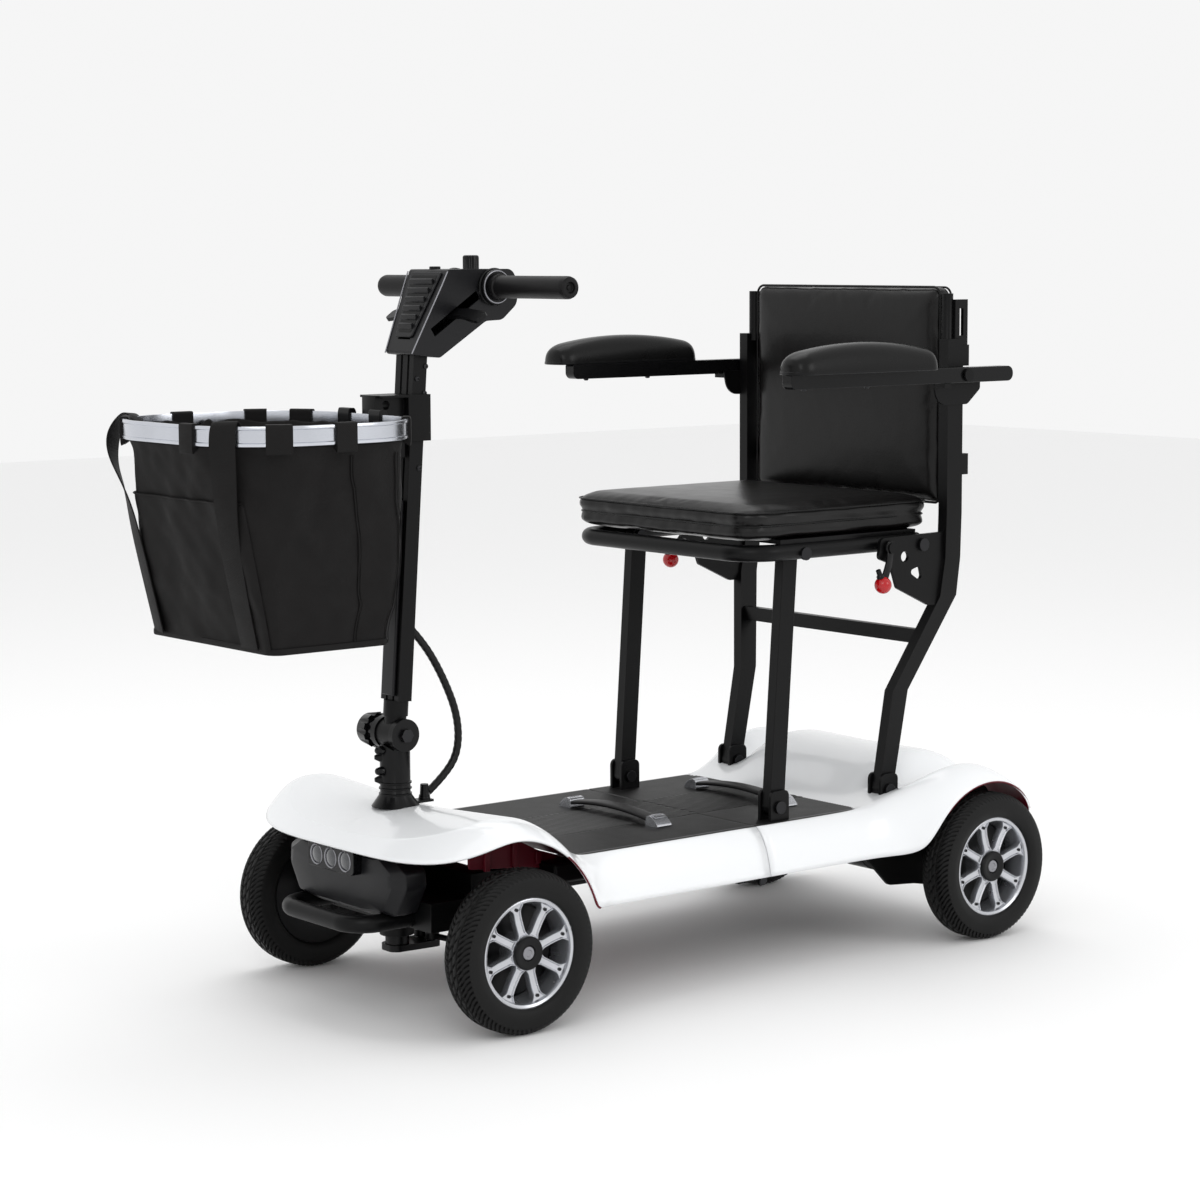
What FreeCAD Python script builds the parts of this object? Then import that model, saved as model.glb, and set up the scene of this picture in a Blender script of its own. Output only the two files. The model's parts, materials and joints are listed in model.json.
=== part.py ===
"""Folding four-wheel mobility scooter, millimetres.

+Z is up, the scooter drives towards -Y and the rider's left side is +X.
The origin is on the floor, midway along and across the whole scooter.
"""
import FreeCAD
import Part
import math
import os

V = FreeCAD.Vector

# ---- overall layout -------------------------------------------------------
WHEEL_RADIUS = 100.0
TYRE_WIDTH = 50.0
TRACK = 454.0                  # between tyre centre planes
WHEELBASE = 790.0
BASKET_REACH = 346.0           # basket front ahead of the front axle
DECK_Z = 190.0                 # top of the deck mat
DECK_HALF = 176.0              # half width of the deck mat
MAT_THICKNESS = 3.0
SKIN = 3.0                     # wall of the moulded covers
COVER_BOTTOM_Z = 130.0
FOLD_AHEAD = 366.0             # fold line ahead of the rear axle
FOLD_Z = 121.0
FOLD_GAP = 1.0                 # half the gap between the two decks
RUN = 0.05                     # radial clearance of a running fit
SIDE_PLAY = 0.6                # side clearance of a part that turns

LENGTH = BASKET_REACH + WHEELBASE + WHEEL_RADIUS
Y_FRONT = BASKET_REACH - LENGTH / 2
Y_REAR = Y_FRONT + WHEELBASE
Y_FOLD = Y_REAR - FOLD_AHEAD
AXLE_Z = WHEEL_RADIUS
HALF_TRACK = TRACK / 2

# ---- wheels ---------------------------------------------------------------
RIM_RADIUS = 67.5
RIM_WIDTH = 40.0
RIM_WALL = 4.0
SPOKES = 8
SPOKE_WIDTH = 12.0
SPOKE_DEPTH = 9.0
HUB_RADIUS = 23.0
CAP_RADIUS = 19.0
CAP_DEPTH = 5.0
AXLE_RADIUS = 6.0
SHAFT_RADIUS = 8.0
BEARING_RADIUS = 14.0
BEARING_WIDTH = 8.0

# ---- steering -------------------------------------------------------------
STEER_BACK = 20.0              # steering axis ahead of the front axle
KINGPIN_INSET = 42.0           # kingpin inboard of the tyre centre plane
KINGPIN_RADIUS = 7.0
BOSS_RADIUS = 14.0
STEER_ARM = 45.0
LINK_OFFSET = 12.0             # link pins either side of the middle
LINK_RADIUS = 5.0
LINK_EYE = 9.0
LINK_PIN = 4.0
LINK_Z = 73.0                  # underside of the link eyes
LINK_THICKNESS = 8.0
OPEN_PIVOT_PLAY = 0.4
PITMAN_THICKNESS = 8.0
BEAM_Z = (112.0, 148.0)
COLUMN_RADIUS = 19.0
STEM_RADIUS = 15.0
HEAD_TUBE_RADIUS = 22.0
BELL_RADIUS = 30.0
BONNET_Z = 246.0
PIVOT_Z = 337.0
PIVOT_BOSS_RADIUS = 20.5
PIVOT_BOSS_HALF = 24.0
FORK_WALL = 9.0
PIVOT_BOLT = 5.0
CABLE_RADIUS = 5.0
GLAND_BACK = 44.0              # cable gland behind the steering axis
GLAND_HEIGHT = 8.0

# ---- tiller ---------------------------------------------------------------
TILLER_LEAN = 4.0              # degrees the post leans back
COLLAR_RADIUS = 15.5
POST_WIDTH = 38.0
POST_DEPTH = 20.0
POST_BOTTOM = 42.0             # along the post from the tiller pivot
POST_TOP = 485.0
CONSOLE_TOP_HALF = 41.0
CONSOLE_BOTTOM_HALF = 28.0
BAR_Z = 887.0
BAR_BACK = 129.0               # handlebar behind the steering axis
BAR_HALF = 195.0
BAR_RADIUS = 11.0
GRIP_RADIUS = 14.0
GRIP_LENGTH = 143.0

# ---- basket ---------------------------------------------------------------
BASKET_HALF = 165.0
BASKET_DEPTH = 290.0
BASKET_BOTTOM_HALF = 138.0
BASKET_BOTTOM_DEPTH = 165.0
BASKET_TOP_Z = 735.0
BASKET_BAND = 23.0
BASKET_CORNER = 110.0
RIM_GAP = 4.3                  # from the outside of the rim to the bag
BASKET_HEIGHT = 262.0
BAG_WALL = 4.0

# ---- seat -----------------------------------------------------------------
SEAT_PIVOT_AHEAD = 120.0       # rear foot pivot ahead of the rear axle
SEAT_BASE = 198.0              # front foot pivot ahead of the rear one
FOOT_Z = 208.0
LEG_RISE = 333.0
LEG_LEAN = 23.0
LEG_X = 154.0
LEG_WIDTH = 16.0
LEG_DEPTH = 25.0
POST_X = 201.0
BACK_DEPTH = 28.0
SEAT_TUBE = 11.0
SEAT_TUBE_X = 178.0
CUSHION_HALF = 186.0
CUSHION_LENGTH = 335.0
CUSHION_THICKNESS = 38.0
BACKREST_HALF = 184.0
BACKREST_THICKNESS = 32.0
BACKREST_BOTTOM_Z = 600.0
BACKREST_TOP_Z = 882.0
ARM_PIVOT_Z = 765.0
ARM_X = 222.0
ARM_WIDTH = 18.0
ARM_HEIGHT = 20.0
ARM_AHEAD = 317.0
ARM_BEHIND = 87.0
PAD_LENGTH = 250.0
PAD_WIDTH = 52.0
PAD_HEIGHT = 38.0
PAD_X = 242.0
BOLT = 5.0

Y_STEER = Y_FRONT - STEER_BACK
KINGPIN_X = HALF_TRACK - KINGPIN_INSET
Y_SEAT = Y_REAR - SEAT_PIVOT_AHEAD
FRONT_ARCH = WHEEL_RADIUS + 40.0
REAR_ARCH = WHEEL_RADIUS + 18.0
FENDER_OUTER = HALF_TRACK + 13.0
REAR_FENDER_INNER = HALF_TRACK - TYRE_WIDTH / 2 - 13.0
SIDE_BOTTOM = DECK_HALF + 29.0   # half width of the covers at their lower edge


# ---- general shapes -------------------------------------------------------
def box(x0, x1, y0, y1, z0, z1):
    """A block between two corners."""
    return Part.makeBox(x1 - x0, y1 - y0, z1 - z0, V(x0, y0, z0))


def rod(start, end, radius):
    """A cylinder from start to end."""
    axis = V(*end) - V(*start)
    return Part.makeCylinder(radius, axis.Length, V(*start), axis)


def ring(start, end, outer, inner):
    """A tube from start to end."""
    return rod(start, end, outer).cut(rod(start, end, inner))


def mirrored(shape):
    """The same shape on the other side of the middle plane."""
    return shape.mirror(V(0, 0, 0), V(1, 0, 0))


def group(*shapes):
    """Separate solids kept together."""
    solids = [solid for shape in shapes for solid in shape.Solids]
    return Part.makeCompound(solids)


def fuse(*shapes):
    """One body from shapes that overlap."""
    first, *rest = shapes
    return first.multiFuse(rest).removeSplitter() if rest else first


def both(shape):
    """A shape and its mirror image."""
    return group(shape, mirrored(shape))


def tangent_arc(before, corner, after, radius):
    """Where an arc of this radius leaves and joins the two runs at a corner."""
    back = (before - corner).normalize()
    ahead = (after - corner).normalize()
    half = back.getAngle(ahead) / 2
    reach = radius / math.tan(half)
    middle = (back + ahead).normalize()
    centre = corner + middle * (radius / math.sin(half))
    return corner + back * reach, centre - middle * radius, corner + ahead * reach


def line(start, end):
    return Part.LineSegment(start, end).toShape()


def rounded_wire(points, radii, closed=True):
    """Straight runs joined by tangent arcs; radius 0 leaves a corner sharp."""
    points = [V(*p) for p in points]
    count = len(points)
    joints = []
    for i, (corner, radius) in enumerate(zip(points, radii)):
        if radius and (closed or 0 < i < count - 1):
            joints.append(tangent_arc(points[i - 1], corner, points[(i + 1) % count], radius))
        else:
            joints.append((corner, None, corner))
    edges = []
    for i, (enter, middle, leave) in enumerate(joints):
        if middle is not None:
            edges.append(Part.Arc(enter, middle, leave).toShape())
        if closed or i < count - 1:
            target = joints[(i + 1) % count][0]
            if (target - leave).Length > 1e-6:
                edges.append(line(leave, target))
    return Part.Wire(edges)


def side_profile(outline, x0, x1):
    """Extrude an outline of (y, z[, radius]) points across, from x0 to x1."""
    points = [(x0, p[0], p[1]) for p in outline]
    radii = [p[2] if len(p) > 2 else 0 for p in outline]
    return Part.Face(rounded_wire(points, radii)).extrude(V(x1 - x0, 0, 0))


def cross_profile(outline, y0, y1):
    """Extrude an outline of (x, z[, radius]) points along, from y0 to y1."""
    points = [(p[0], y0, p[1]) for p in outline]
    radii = [p[2] if len(p) > 2 else 0 for p in outline]
    return Part.Face(rounded_wire(points, radii)).extrude(V(0, y1 - y0, 0))


def plan_profile(outline, z0, z1):
    """Extrude an outline of (x, y[, radius]) points up, from z0 to z1."""
    points = [(p[0], p[1], z0) for p in outline]
    radii = [p[2] if len(p) > 2 else 0 for p in outline]
    return Part.Face(rounded_wire(points, radii)).extrude(V(0, 0, z1 - z0))


def symmetric(half):
    """Close a half outline, given from the middle outwards, across x = 0."""
    other = [(-p[0],) + tuple(p[1:]) for p in reversed(half)]
    return list(half) + other


def round_tube(points, radii, radius):
    """A round bar along a path of straight runs and tangent arcs."""
    path = rounded_wire(points, radii, closed=False)
    start = V(*points[0])
    section = Part.Wire([Part.Circle(start, V(*points[1]) - start, radius).toShape()])
    return path.makePipeShell([section], True, True)


def leaning(shape, pivot, degrees):
    """Lean a shape back about the X axis through pivot."""
    turned = shape.copy()
    turned.rotate(V(*pivot), V(1, 0, 0), -degrees)
    return turned


# ---- wheels ---------------------------------------------------------------
def tyre(x, y):
    """A rounded tread on the rim, with two grooves round it."""
    half = TYRE_WIDTH / 2
    seat = RIM_RADIUS
    outline = [(-half + 5, seat), (-half, seat + 14, 8), (-half + 2, WHEEL_RADIUS - 3, 8),
               (-half + 12, WHEEL_RADIUS, 6), (half - 12, WHEEL_RADIUS, 6),
               (half - 2, WHEEL_RADIUS - 3, 8), (half, seat + 14, 8), (half - 5, seat)]
    points = [(x + p[0], y, AXLE_Z + p[1]) for p in outline]
    radii = [p[2] if len(p) > 2 else 0 for p in outline]
    body = Part.Face(rounded_wire(points, radii)).revolve(V(x, y, AXLE_Z), V(1, 0, 0), 360)
    for offset in (-8, 8):
        start = (x + offset - 1.5, y, AXLE_Z)
        end = (x + offset + 1.5, y, AXLE_Z)
        body = body.cut(ring(start, end, WHEEL_RADIUS + 1, WHEEL_RADIUS - 3))
    return body


def wheel_core(x, y, outward, bore):
    """Rim barrel, spokes and hub, with the hub cap as a second solid."""
    half = RIM_WIDTH / 2
    centre = (x - half, y, AXLE_Z), (x + half, y, AXLE_Z)
    face = x + outward * (half - 7)
    spoke_x = sorted((face, face - outward * SPOKE_DEPTH))
    barrel = ring(*centre, RIM_RADIUS, RIM_RADIUS - RIM_WALL)
    hub = rod((x - 14, y, AXLE_Z), (x + 14, y, AXLE_Z), HUB_RADIUS)
    spokes = []
    for i in range(SPOKES):
        spoke = box(*spoke_x, y - SPOKE_WIDTH / 2, y + SPOKE_WIDTH / 2,
                    AXLE_Z + HUB_RADIUS - 5, AXLE_Z + RIM_RADIUS - RIM_WALL / 2)
        spoke.rotate(V(x, y, AXLE_Z), V(1, 0, 0), 360 * i / SPOKES)
        spokes.append(spoke)
    core = fuse(barrel, hub, *spokes)
    core = core.cut(rod((x - half, y, AXLE_Z), (x + half, y, AXLE_Z), bore))
    cap_x = x + outward * 14
    cap = rod((cap_x, y, AXLE_Z), (cap_x + outward * CAP_DEPTH, y, AXLE_Z), CAP_RADIUS)
    return core, cap.makeFillet(2, [cap.Edges[0]])


def front_wheel(x, outward):
    """Wheel on two ball bearings that run on the stub axle."""
    core, cap = wheel_core(x, Y_FRONT, outward, BEARING_RADIUS)
    bearings = []
    for side in (-1, 1):
        inner = x + side * 3
        bearings.append(ring((inner, Y_FRONT, AXLE_Z), (inner + side * BEARING_WIDTH, Y_FRONT, AXLE_Z),
                             BEARING_RADIUS, AXLE_RADIUS + RUN))
    return group(core, cap, *bearings)


def rear_wheel(x, outward):
    """Wheel keyed to its half shaft."""
    core, cap = wheel_core(x, Y_REAR, outward, SHAFT_RADIUS)
    shaft = rod((x + outward * 12, Y_REAR, AXLE_Z), (outward * SHAFT_INNER_X, Y_REAR, AXLE_Z),
                SHAFT_RADIUS)
    return group(core, cap, shaft)


# ---- rear chassis ---------------------------------------------------------
RAIL_X = 110.0
RAIL_WIDTH = 30.0
RAIL_Z = (140.0, 176.0)
FLOOR_Z = 181.0                # underside of the covers' deck skin is just above
HINGE_X = (150.0, 168.0, 186.0)
HINGE_BARREL = 7.5
HINGE_PIN = 4.0
CARRIER_X = 150.0
CARRIER_WALL = 6.0
HOUSING_RADIUS = 40.0
SHAFT_INNER_X = 96.0
MOTOR_RADIUS = 36.0


def rail_pair(y0, y1):
    """Two box rails with a cross member at each end."""
    z0, z1 = RAIL_Z
    rail = box(RAIL_X - RAIL_WIDTH / 2, RAIL_X + RAIL_WIDTH / 2, y0, y1, z0, z1)
    ends = [box(-RAIL_X, RAIL_X, y, y + RAIL_WIDTH, z0, z1) for y in (y0, y1 - RAIL_WIDTH)]
    return [rail, mirrored(rail)] + ends


def hinge_knuckles(x0, x1, y_leaf):
    """A barrel on the fold line and the leaf that carries it, on both sides."""
    play = SIDE_PLAY / 2
    barrel = rod((x0 + play, Y_FOLD, FOLD_Z), (x1 - play, Y_FOLD, FOLD_Z), HINGE_BARREL)
    leaf = box(x0 + play, x1 - play, *sorted((Y_FOLD, y_leaf)), FOLD_Z, FOLD_Z + HINGE_BARREL)
    leaf = leaf.cut(rod((x0, Y_FOLD, FOLD_Z), (x1, Y_FOLD, FOLD_Z), HINGE_BARREL - 1))
    return [barrel, leaf]


def rear_frame():
    """Box rails, hinge half, seat floor plates and the axle carriers."""
    y0 = Y_FOLD + FOLD_GAP + 8
    z0, z1 = RAIL_Z
    parts = rail_pair(y0, Y_REAR - 60)
    x0, x1, _ = HINGE_X
    knuckle = hinge_knuckles(x0, x1, y0 + RAIL_WIDTH)
    outrigger = box(RAIL_X, x1 - SIDE_PLAY / 2, y0, y0 + RAIL_WIDTH, FOLD_Z + 5, z1)
    carrier_outline = [(Y_REAR - 150, z1 - 20), (Y_REAR - 146, 112, 10), (Y_REAR - 108, 74, 12),
                       (Y_REAR - 60, 70, 20), (Y_REAR - 20, 62, 20), (Y_REAR + 28, 74, 12),
                       (Y_REAR + 28, 132, 12), (Y_REAR - 30, z1 - 20)]
    carrier = side_profile(carrier_outline, CARRIER_X, CARRIER_X + CARRIER_WALL)
    carrier_arms = [box(RAIL_X, CARRIER_X + CARRIER_WALL, y, y + 24, z0, z1)
                    for y in (Y_REAR - 140, Y_REAR - 84)]
    plates = []
    for y in (Y_SEAT - SEAT_BASE, Y_SEAT):
        plates.append(box(RAIL_X, LEG_X + 15, y - 16, y + 18, z1 - 10, FLOOR_Z))
    half = fuse(*knuckle, outrigger, carrier, *carrier_arms, *plates,
                box(RAIL_X - 5, RAIL_X + 5, y0, Y_REAR - 60, z0, z1))
    frame = fuse(*parts, half, mirrored(half))
    pins = rod((-x1 * 1.2, Y_FOLD, FOLD_Z), (x1 * 1.2, Y_FOLD, FOLD_Z), HINGE_PIN)
    bores = rod((-TRACK, Y_REAR, AXLE_Z), (TRACK, Y_REAR, AXLE_Z), SHAFT_RADIUS + 1)
    return frame.cut(pins).cut(bores)


def fold_hinge_pins():
    """A pin through each pair of hinge barrels, fast in the rear one."""
    x0, _, x2 = HINGE_X
    pin = rod((x0 - 3, Y_FOLD, FOLD_Z), (x2 + 3, Y_FOLD, FOLD_Z), HINGE_PIN)
    head = rod((x2 + 1, Y_FOLD, FOLD_Z), (x2 + 4, Y_FOLD, FOLD_Z), HINGE_PIN + 2)
    return both(fuse(pin, head))


def deck_shell(y0, y1):
    """The cover beside and under a mat: two side panels and a thin top."""
    side, top = SIDE_BOTTOM, DECK_Z
    outer = symmetric([(side, COVER_BOTTOM_Z), (DECK_HALF + 15, top - 13, 14), (DECK_HALF, top, 6)])
    inner = symmetric([(side - SKIN, COVER_BOTTOM_Z - 1), (DECK_HALF + 12, top - 15, 12),
                       (DECK_HALF - 2, top - MAT_THICKNESS - SKIN, 4)])
    shell = cross_profile(outer, y0, y1).cut(cross_profile(inner, y0, y1))
    return shell


def mat_recess(y0, y1, play=0.0):
    """The space that a mat lies in."""
    half = DECK_HALF - 1 + play
    return box(-half, half, y0 - play, y1 + play, DECK_Z - MAT_THICKNESS, DECK_Z + 0.5)


REAR_MAT_END = Y_REAR - 178.0
FRONT_MAT_START = Y_FRONT + 135.0


def rear_cover():
    """White shell: side panels, a hump over the battery and two fenders."""
    well = Y_REAR - REAR_ARCH - 6
    panel = deck_shell(Y_FOLD + FOLD_GAP, well)
    hump_outline = [(REAR_MAT_END + 2, COVER_BOTTOM_Z), (REAR_MAT_END + 2, DECK_Z),
                    (Y_REAR - 140, DECK_Z + 8, 40), (Y_REAR - 78, DECK_Z + 54, 50),
                    (Y_REAR - 8, DECK_Z + 51, 60), (Y_REAR + 54, DECK_Z + 30, 30),
                    (Y_REAR + 86, DECK_Z - 30, 20), (Y_REAR + 80, COVER_BOTTOM_Z)]
    inner_outline = [(REAR_MAT_END + 2 + SKIN, COVER_BOTTOM_Z - 1),
                     (REAR_MAT_END + 2 + SKIN, DECK_Z - SKIN),
                     (Y_REAR - 140, DECK_Z + 8 - SKIN, 40), (Y_REAR - 78, DECK_Z + 54 - SKIN, 50),
                     (Y_REAR - 8, DECK_Z + 51 - SKIN, 60), (Y_REAR + 53, DECK_Z + 29 - SKIN, 26),
                     (Y_REAR + 83, DECK_Z - 30, 17), (Y_REAR + 77, COVER_BOTTOM_Z - 1)]
    hump = side_profile(hump_outline, -REAR_FENDER_INNER, REAR_FENDER_INNER)
    shoulder = symmetric([(REAR_FENDER_INNER, COVER_BOTTOM_Z), (REAR_FENDER_INNER, DECK_Z + 12, 20),
                          (REAR_FENDER_INNER - 60, DECK_Z + 14, 30), (60, DECK_Z + 62, 30)])
    inner_shoulder = symmetric([(REAR_FENDER_INNER - SKIN, COVER_BOTTOM_Z - 1),
                                (REAR_FENDER_INNER - SKIN, DECK_Z + 10, 18),
                                (REAR_FENDER_INNER - 60, DECK_Z + 11, 30), (60, DECK_Z + 59, 30)])
    y_range = (REAR_MAT_END, Y_REAR + 90)
    hump = hump.common(cross_profile(shoulder, *y_range))
    hollow = side_profile(inner_outline, -REAR_FENDER_INNER + SKIN, REAR_FENDER_INNER - SKIN)
    hollow = hollow.common(cross_profile(inner_shoulder, *y_range))
    top = AXLE_Z + REAR_ARCH + 15
    fender_outline = [(well - 60, COVER_BOTTOM_Z - 8), (well - 60, DECK_Z - 22, 20),
                      (well - 14, DECK_Z - 4, 40), (Y_REAR - 62, top - 12, 50),
                      (Y_REAR - 6, top + 4, 70), (Y_REAR + 62, top - 14, 60),
                      (Y_REAR + 100, DECK_Z - 22, 12), (Y_REAR + 88, AXLE_Z + 52)]
    fender = side_profile(fender_outline, REAR_FENDER_INNER, FENDER_OUTER)
    axle = (REAR_FENDER_INNER, Y_REAR, AXLE_Z), (FENDER_OUTER, Y_REAR, AXLE_Z)
    fender = fender.cut(rod(*axle, REAR_ARCH))
    pocket = box(REAR_FENDER_INNER, FENDER_OUTER - SKIN, well - 60 + SKIN, well - 8,
                 COVER_BOTTOM_Z - 8, DECK_Z - 40)
    fender = fender.cut(pocket)
    cover = fuse(panel, hump, fender, mirrored(fender)).cut(hollow)
    inside = DECK_HALF - 2
    under_skin = DECK_Z - MAT_THICKNESS - SKIN - 1
    cover = cover.cut(box(-inside, inside, REAR_MAT_END - 8, Y_REAR + 60, 0, under_skin))
    return cover.cut(mat_recess(Y_FOLD, REAR_MAT_END, RUN)).cut(foot_spaces())


def foot_spaces():
    """Openings in the cover where the seat feet stand on the frame."""
    spaces = []
    for y in (Y_SEAT - SEAT_BASE, Y_SEAT):
        space = box(LEG_X - 18.5, LEG_X + 18.5, y - 18, y + 22, FLOOR_Z - 20, DECK_Z + 40)
        spaces += [space, mirrored(space)]
    return fuse(*spaces)


def rear_deck_mat():
    """Ribbed rubber mat, notched round the front seat feet."""
    mat = box(-DECK_HALF + 1, DECK_HALF - 1, Y_FOLD + FOLD_GAP, REAR_MAT_END,
              DECK_Z - MAT_THICKNESS, DECK_Z)
    return mat.cut(foot_spaces())


def front_deck_mat():
    """Ribbed rubber mat of the front deck."""
    return box(-DECK_HALF + 1, DECK_HALF - 1, FRONT_MAT_START, Y_FOLD - FOLD_GAP,
               DECK_Z - MAT_THICKNESS, DECK_Z)


def seat_feet():
    """Four clevises that hold the lower ends of the seat legs."""
    feet = []
    wall_in = LEG_WIDTH / 2 + SIDE_PLAY / 2
    for y in (Y_SEAT - SEAT_BASE, Y_SEAT):
        for side in (-1, 1):
            x0, x1 = sorted((LEG_X + side * wall_in, LEG_X + side * (wall_in + 4.5)))
            outline = [(y - 15, FLOOR_Z), (y - 15, FOOT_Z + 22, 8), (y + 17, FOOT_Z + 22, 8),
                       (y + 17, FLOOR_Z)]
            feet.append(side_profile(outline, x0, x1))
        reach = wall_in + 4.5
        feet.append(box(LEG_X - reach, LEG_X + reach, y - 15, y + 17, FLOOR_Z, FLOOR_Z + 8))
    bolts = [rod((LEG_X - 30, y, FOOT_Z), (LEG_X + 30, y, FOOT_Z), BOLT)
             for y in (Y_SEAT - SEAT_BASE, Y_SEAT)]
    clevises = [fuse(*feet[:3]), fuse(*feet[3:])]
    clevises = [clevis.cut(bolt) for clevis, bolt in zip(clevises, bolts)]
    return both(group(*clevises))


def headed_bolt(x0, x1, y, z, radius=BOLT):
    """A bolt along X with a round head at x1 and a nut at x0."""
    outward = 1 if x1 > x0 else -1
    shank = rod((x0, y, z), (x1, y, z), radius)
    head = rod((x1, y, z), (x1 + outward * 4, y, z), radius + 3.5)
    nut = rod((x0 - outward * 4, y, z), (x0, y, z), radius + 3)
    return fuse(shank, head, nut)


def seat_foot_bolts():
    """The four bolts that the legs turn on."""
    reach = LEG_WIDTH / 2 + SIDE_PLAY / 2 + 4.5
    bolts = [headed_bolt(LEG_X - reach, LEG_X + reach, y, FOOT_Z)
             for y in (Y_SEAT - SEAT_BASE, Y_SEAT)]
    return both(group(*bolts))


def battery_pack():
    """Battery case between the rails, under the hump."""
    pack = box(-RAIL_X + RAIL_WIDTH / 2 + 4, RAIL_X - RAIL_WIDTH / 2 - 4,
               Y_FOLD + 70, Y_REAR - 140, RAIL_Z[0] - 4, FLOOR_Z - 2)
    return pack.makeFillet(4, pack.Edges)


def controller():
    """Motor controller under the hump, ahead of the motor."""
    case = box(-62, 62, Y_REAR - 110, Y_REAR - 66, RAIL_Z[1], RAIL_Z[1] + 28)
    return case.makeFillet(3, case.Edges)


def transaxle():
    """Gear housing with the drive motor and an axle tube to each wheel."""
    inner = CARRIER_X - 1
    housing = rod((-24, Y_REAR, AXLE_Z), (24, Y_REAR, AXLE_Z), HOUSING_RADIUS)
    tube = ring((-inner, Y_REAR, AXLE_Z), (inner, Y_REAR, AXLE_Z), 18, SHAFT_RADIUS + RUN)
    motor = rod((30, Y_REAR - 20, AXLE_Z + 52), (-84, Y_REAR - 20, AXLE_Z + 52), MOTOR_RADIUS - 8)
    neck = box(-24, 24, Y_REAR - 34, Y_REAR + 10, AXLE_Z + 10, AXLE_Z + 50)
    body = fuse(housing, motor, neck, tube)
    bore = rod((-inner, Y_REAR, AXLE_Z), (inner, Y_REAR, AXLE_Z), SHAFT_RADIUS + RUN)
    return body.cut(bore)


HANDLE_HALF = 103.0
HANDLE_WIDTH = 24.0


def carry_handle(y):
    """Bowed rubber strap between two metal end caps."""
    z = DECK_Z
    strap_outline = [(-HANDLE_HALF + 20, z + 2), (-HANDLE_HALF + 20, z + 8), (-45, z + 16, 60),
                     (45, z + 16, 60), (HANDLE_HALF - 20, z + 8), (HANDLE_HALF - 20, z + 2),
                     (45, z + 10, 60), (-45, z + 10, 60)]
    strap = cross_profile(strap_outline, y - HANDLE_WIDTH / 2 + 2, y + HANDLE_WIDTH / 2 - 2)
    cap_outline = [(HANDLE_HALF - 20, z), (HANDLE_HALF - 20, z + 11, 3), (HANDLE_HALF, z + 4, 3),
                   (HANDLE_HALF, z)]
    cap = cross_profile(cap_outline, y - HANDLE_WIDTH / 2, y + HANDLE_WIDTH / 2)
    return group(strap, cap, mirrored(cap))


# ---- front chassis --------------------------------------------------------
BEAM_REACH = 60.0              # beam's front face ahead of the front axle
NOSE = 118.0                   # cover's nose ahead of the front axle
LIP_Z = 211.0                  # lower edge of the nose
LINER_X = 138.0


def front_frame():
    """Box rails, hinge half, head tube and the beam with the kingpin bosses."""
    y1 = Y_FOLD - FOLD_GAP - 8
    y0 = Y_FRONT + 4
    z0, z1 = RAIL_Z
    _, x1, x2 = HINGE_X
    parts = rail_pair(y0, y1)
    knuckle = hinge_knuckles(x1, x2, y1 - RAIL_WIDTH)
    outrigger = box(RAIL_X, x2 - SIDE_PLAY / 2, y1 - RAIL_WIDTH, y1, FOLD_Z + 5, z1 - 6)
    beam = box(-LINER_X + 8, LINER_X - 8, Y_FRONT - BEAM_REACH, Y_FRONT + 12, *BEAM_Z)
    drop = box(-RAIL_X, RAIL_X, y0, y0 + 20, BEAM_Z[0], z1)
    boss_z = BEAM_Z
    boss = rod((KINGPIN_X, Y_FRONT, boss_z[0]), (KINGPIN_X, Y_FRONT, boss_z[1]), BOSS_RADIUS)
    arm = box(LINER_X - 12, KINGPIN_X, Y_FRONT - 12, Y_FRONT + 12, *boss_z)
    head = rod((0, Y_STEER, 84), (0, Y_STEER, BONNET_Z - 8), HEAD_TUBE_RADIUS)
    half = fuse(*knuckle, outrigger, boss, arm)
    frame = fuse(*parts, beam, drop, half, mirrored(half), head)
    kingpin = rod((KINGPIN_X, Y_FRONT, 0), (KINGPIN_X, Y_FRONT, DECK_Z), KINGPIN_RADIUS + RUN)
    stem = rod((0, Y_STEER, 0), (0, Y_STEER, PIVOT_Z), STEM_RADIUS + RUN)
    pins = rod((-x2 * 1.2, Y_FOLD, FOLD_Z), (x2 * 1.2, Y_FOLD, FOLD_Z), HINGE_PIN + RUN)
    return frame.cut(fuse(kingpin, mirrored(kingpin), stem, pins))


def nose_plan(inset=0.0):
    """Plan outline of the front cover, round at the nose."""
    y_front, outer = Y_FRONT - NOSE + inset, FENDER_OUTER - inset
    y_back = Y_FOLD - FOLD_GAP
    return symmetric([(110, y_front, 60), (outer - 40, Y_FRONT - 88 + inset, 50),
                      (outer, Y_FRONT - 20 + inset, 60), (outer, y_back)])


def bonnet(drop, x_half, bottom):
    """Middle of the nose, from the lip to the deck mat."""
    top = BONNET_Z - drop
    lip = Y_FRONT - NOSE - 6 + drop
    outline = [(lip, bottom), (lip, DECK_Z + 21), (lip + 8, DECK_Z + 38 - drop, 12),
               (Y_FRONT - 84, top - 7, 40), (Y_STEER - 22, top, 30), (Y_STEER + 34, top, 30),
               (Y_FRONT + 58, top - 14, 50), (FRONT_MAT_START - 22, DECK_Z + 6 - drop, 40),
               (FRONT_MAT_START, DECK_Z - drop), (FRONT_MAT_START + 4, DECK_Z - drop),
               (FRONT_MAT_START + 4, bottom)]
    return side_profile(outline, -x_half, x_half)


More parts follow.
